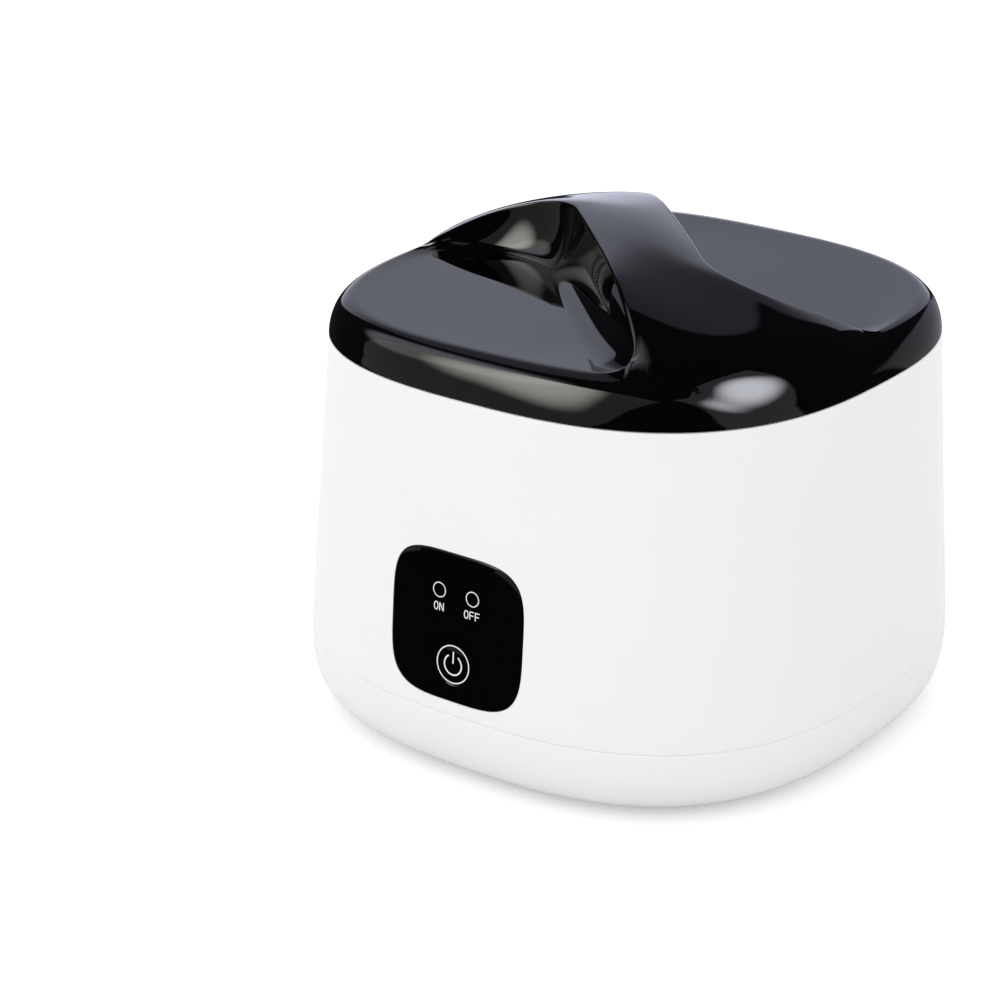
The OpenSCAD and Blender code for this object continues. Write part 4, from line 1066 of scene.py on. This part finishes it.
ink = moulded(
    "white ink", (0.86, 0.86, 0.87), 0.45, ripple_mm=2, ripple_depth=0.002, grain_mm=0.08, grain_depth=0.002,
)

for piece, slot in pieces_made:
    piece.data.materials.clear()
    piece.data.materials.append(finishes[slot] if slot else ink)
for part in frame["record"]["subparts"]:
    node = frame["nodes"][part["node"]]
    for holder in node.material_slots:
        holder.material = finishes[part["material_slot"]]
    if not node.material_slots:
        node.data.materials.append(finishes[part["material_slot"]])

# %% [markdown]
# ## The studio that the black lid mirrors
# The picture is lit evenly from all round, which a plain white world does best. But a mirror shows
# its surroundings, and all the shape of the black lid comes from them: a pale round backdrop behind
# the tub, a large soft box at its left, a smaller one at its right and near darkness elsewhere. Lamps
# could do that and would light the tub unevenly. So the studio is a pattern of directions, which
# only perfectly sharp reflections see. Light Path calls those singular rays. Each soft box is a
# flat rectangle seen from the lid: x and y say where a direction meets its plane.

# %% Directions and soft boxes


def towards(turn, height):
    """The direction that has this turn and height in degrees."""
    a, e = math.radians(turn), math.radians(height)
    return (-math.sin(a) * math.cos(e), math.cos(a) * math.cos(e), math.sin(e))


def along(where, axis):
    return where.node("ShaderNodeVectorMath", {"operation": "DOT_PRODUCT"}, {0: where, 1: axis}, "Value")


def between(value, low, high, soft=0.03):
    return spread(value, low - soft, low + soft) * spread(value, high + soft, high - soft)


def soft_box(where, turn, height, wide, tall, base, peak, spot, size, lean=0.0):
    """A box with an even base light and a brighter spot where its lamp is."""
    depth = along(where, towards(turn, height))
    x = along(where, towards(turn + 90, 0)) / depth
    y = along(where, towards(turn, height + 90)) / depth
    dx = (x - spot[0] + (y - spot[1]) * lean) / size[0]
    dy = (y - spot[1]) / size[1]
    lamp = spread(dx * dx + dy * dy, 0.0, 1.0, peak, 0.0)
    return between(x, *wide) * between(y, *tall) * spread(depth, 0.05, 0.1) * (lamp + base)


# %% The studio
BACKDROP_TONE, OVERHEAD_TONE, TABLE_GLOW, ROOM_TONE = 0.6, 0.2, 0.3, 0.02
CARD_TONE, OVER_TONE = 0.32, 1.2


def backdrop_tone(height):
    """Even at the lid's own level, brighter towards the table and dim overhead."""
    overhead = spread(height, 0.4, 0.62, BACKDROP_TONE, OVERHEAD_TONE)
    return overhead + spread(height, 0.0, 0.15, TABLE_GLOW, 0.0)


def round_patch(where, turn, height, edge, inside, tone=1.0):
    """A round patch of light; edge and inside are cosines of its angular size."""
    return spread(along(where, towards(turn, height)), edge, inside, 0.0, tone)


def studio(where):
    """How bright a direction is in the lid's mirror image."""
    tone = backdrop_tone(where.node("ShaderNodeSeparateXYZ", {}, {0: where}, "Z"))
    low_disc = round_patch(where, 35, 20, 0.874, 0.884)
    high_disc = round_patch(where, 38, 38, 0.944, 0.953)
    backdrop = tone * tone.reckon("MAXIMUM", low_disc, high_disc)
    card = round_patch(where, -12, -5, 0.908, 0.928, CARD_TONE)
    over = round_patch(where, 103, 47, 0.915, 0.965, OVER_TONE)
    left = soft_box(
        where, turn=149, height=25, wide=(-0.93, 0.93), tall=(-0.85, 1.15),
        base=0.36, peak=6.5, spot=(-0.15, 0.64), size=(0.52, 1.02), lean=0.5,
    )
    right_box = soft_box(
        where, turn=-90, height=25, wide=(-0.45, 0.44), tall=(-0.85, 0.95),
        base=0.5, peak=13.0, spot=(0.02, 0.26), size=(0.45, 0.56),
    )
    return backdrop + card + over + left + right_box + ROOM_TONE


def studio_tint(where):
    """The backdrop mirrors blue, the right soft box a little blue and the left one warm."""
    ahead = spread(along(where, towards(30, 20)), 0.45, 0.7)
    beside = spread(along(where, towards(-90, 25)), 0.3, 0.6, 0.0, 0.55)
    return blend(ahead.reckon("MAXIMUM", ahead, beside), (0.96, 0.96, 0.9), (0.97, 1.0, 1.2))


def light_colour(where, mirrored, plain):
    """The studio for the mirrors, and a plain white of this strength for all other rays."""
    tint, bright = studio_tint(where), studio(where)
    shown = tint.node("ShaderNodeVectorMath", {"operation": "SCALE"}, {0: tint, "Scale": bright})
    return blend(mirrored, plain, shown)


def which_ray(start):
    path = start.node("ShaderNodeLightPath").socket.node
    kinds = ("Is Camera Ray", "Is Glossy Ray", "Is Transmission Ray", "Is Singular Ray")
    return [Signal(start.tree, path.outputs[kind]) for kind in kinds]


print("studio ready")

# %% [markdown]
# ## The plain light and the floor
# Everything but the black lid and the window is lit by an even world, a little brighter from the
# front left as in the picture. The background is white to the camera, and to rays that come from
# metal or through clear pieces. The floor glows a little to the camera, so that it reads as white
# too, and still keeps the soft shadow under the tub.

# %% World
scene = bpy.context.scene
scene.view_settings.view_transform = "Standard"
world = bpy.data.worlds.new("studio")
scene.world = world
world.use_nodes = True
tree = world.node_tree
start = Signal(tree)
heading = start.node("ShaderNodeTexCoord", out="Generated")
seen, glossy, clear, mirrored = which_ray(start)
BEHIND_LIGHT, FRONT_LIGHT = 0.87, 1.18
even = spread(along(heading, towards(150, 25)), -1.0, 1.0, BEHIND_LIGHT, FRONT_LIGHT)
white = seen + (glossy + clear) * (1 - seen)
light = light_colour(heading, mirrored, white + (1 - white) * even)
tree.links.new(light.socket, tree.nodes["Background"].inputs["Color"])
print("world ready")

# %% Floor
floor_mesh = bpy.data.meshes.new("floor")
reach = 4
corners = [(-reach, -reach, 0), (reach, -reach, 0), (reach, reach, 0), (-reach, reach, 0)]
floor_mesh.from_pydata(corners, [], [(0, 1, 2, 3)])
floor = bpy.data.objects.new("floor", floor_mesh)
scene.collection.objects.link(floor)
floor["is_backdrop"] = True
pale = bpy.data.materials.new("pale floor")
pale.use_nodes = True
tree = pale.node_tree
start = Signal(tree)
seen, glossy, clear, mirrored = which_ray(start)
spot = start.node("ShaderNodeNewGeometry", out="Position")
lid_middle = (0, 0, 0.11)
from_lid = spot.node("ShaderNodeVectorMath", {"operation": "SUBTRACT"}, {0: spot, 1: lid_middle})
heading = from_lid.node("ShaderNodeVectorMath", {"operation": "NORMALIZE"}, {0: from_lid})
shader = tree.nodes["Principled BSDF"]
shader.inputs["Roughness"].default_value = 1.0
shader.inputs["Specular IOR Level"].default_value = 0.0
tone = blend(mirrored, (0.8, 0.8, 0.8), (0.0, 0.0, 0.0))
tree.links.new(tone.socket, shader.inputs["Base Color"])
shader.inputs["Emission Strength"].default_value = 1.0
GLOW_SEEN, GLOW_IN_METAL = 0.35, 0.12
glow = light_colour(heading, mirrored, (seen + clear) * GLOW_SEEN + glossy * GLOW_IN_METAL)
tree.links.new(glow.socket, shader.inputs["Emission Color"])
floor_mesh.materials.append(pale)
print("floor ready")

# %% [markdown]
# ## The box that is shown
# The box of what is now shown is printed, in millimetres.

# %% Finish
low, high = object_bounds()
print("shown box in mm:", [round(v / MM, 1) for v in (*low, *high)])
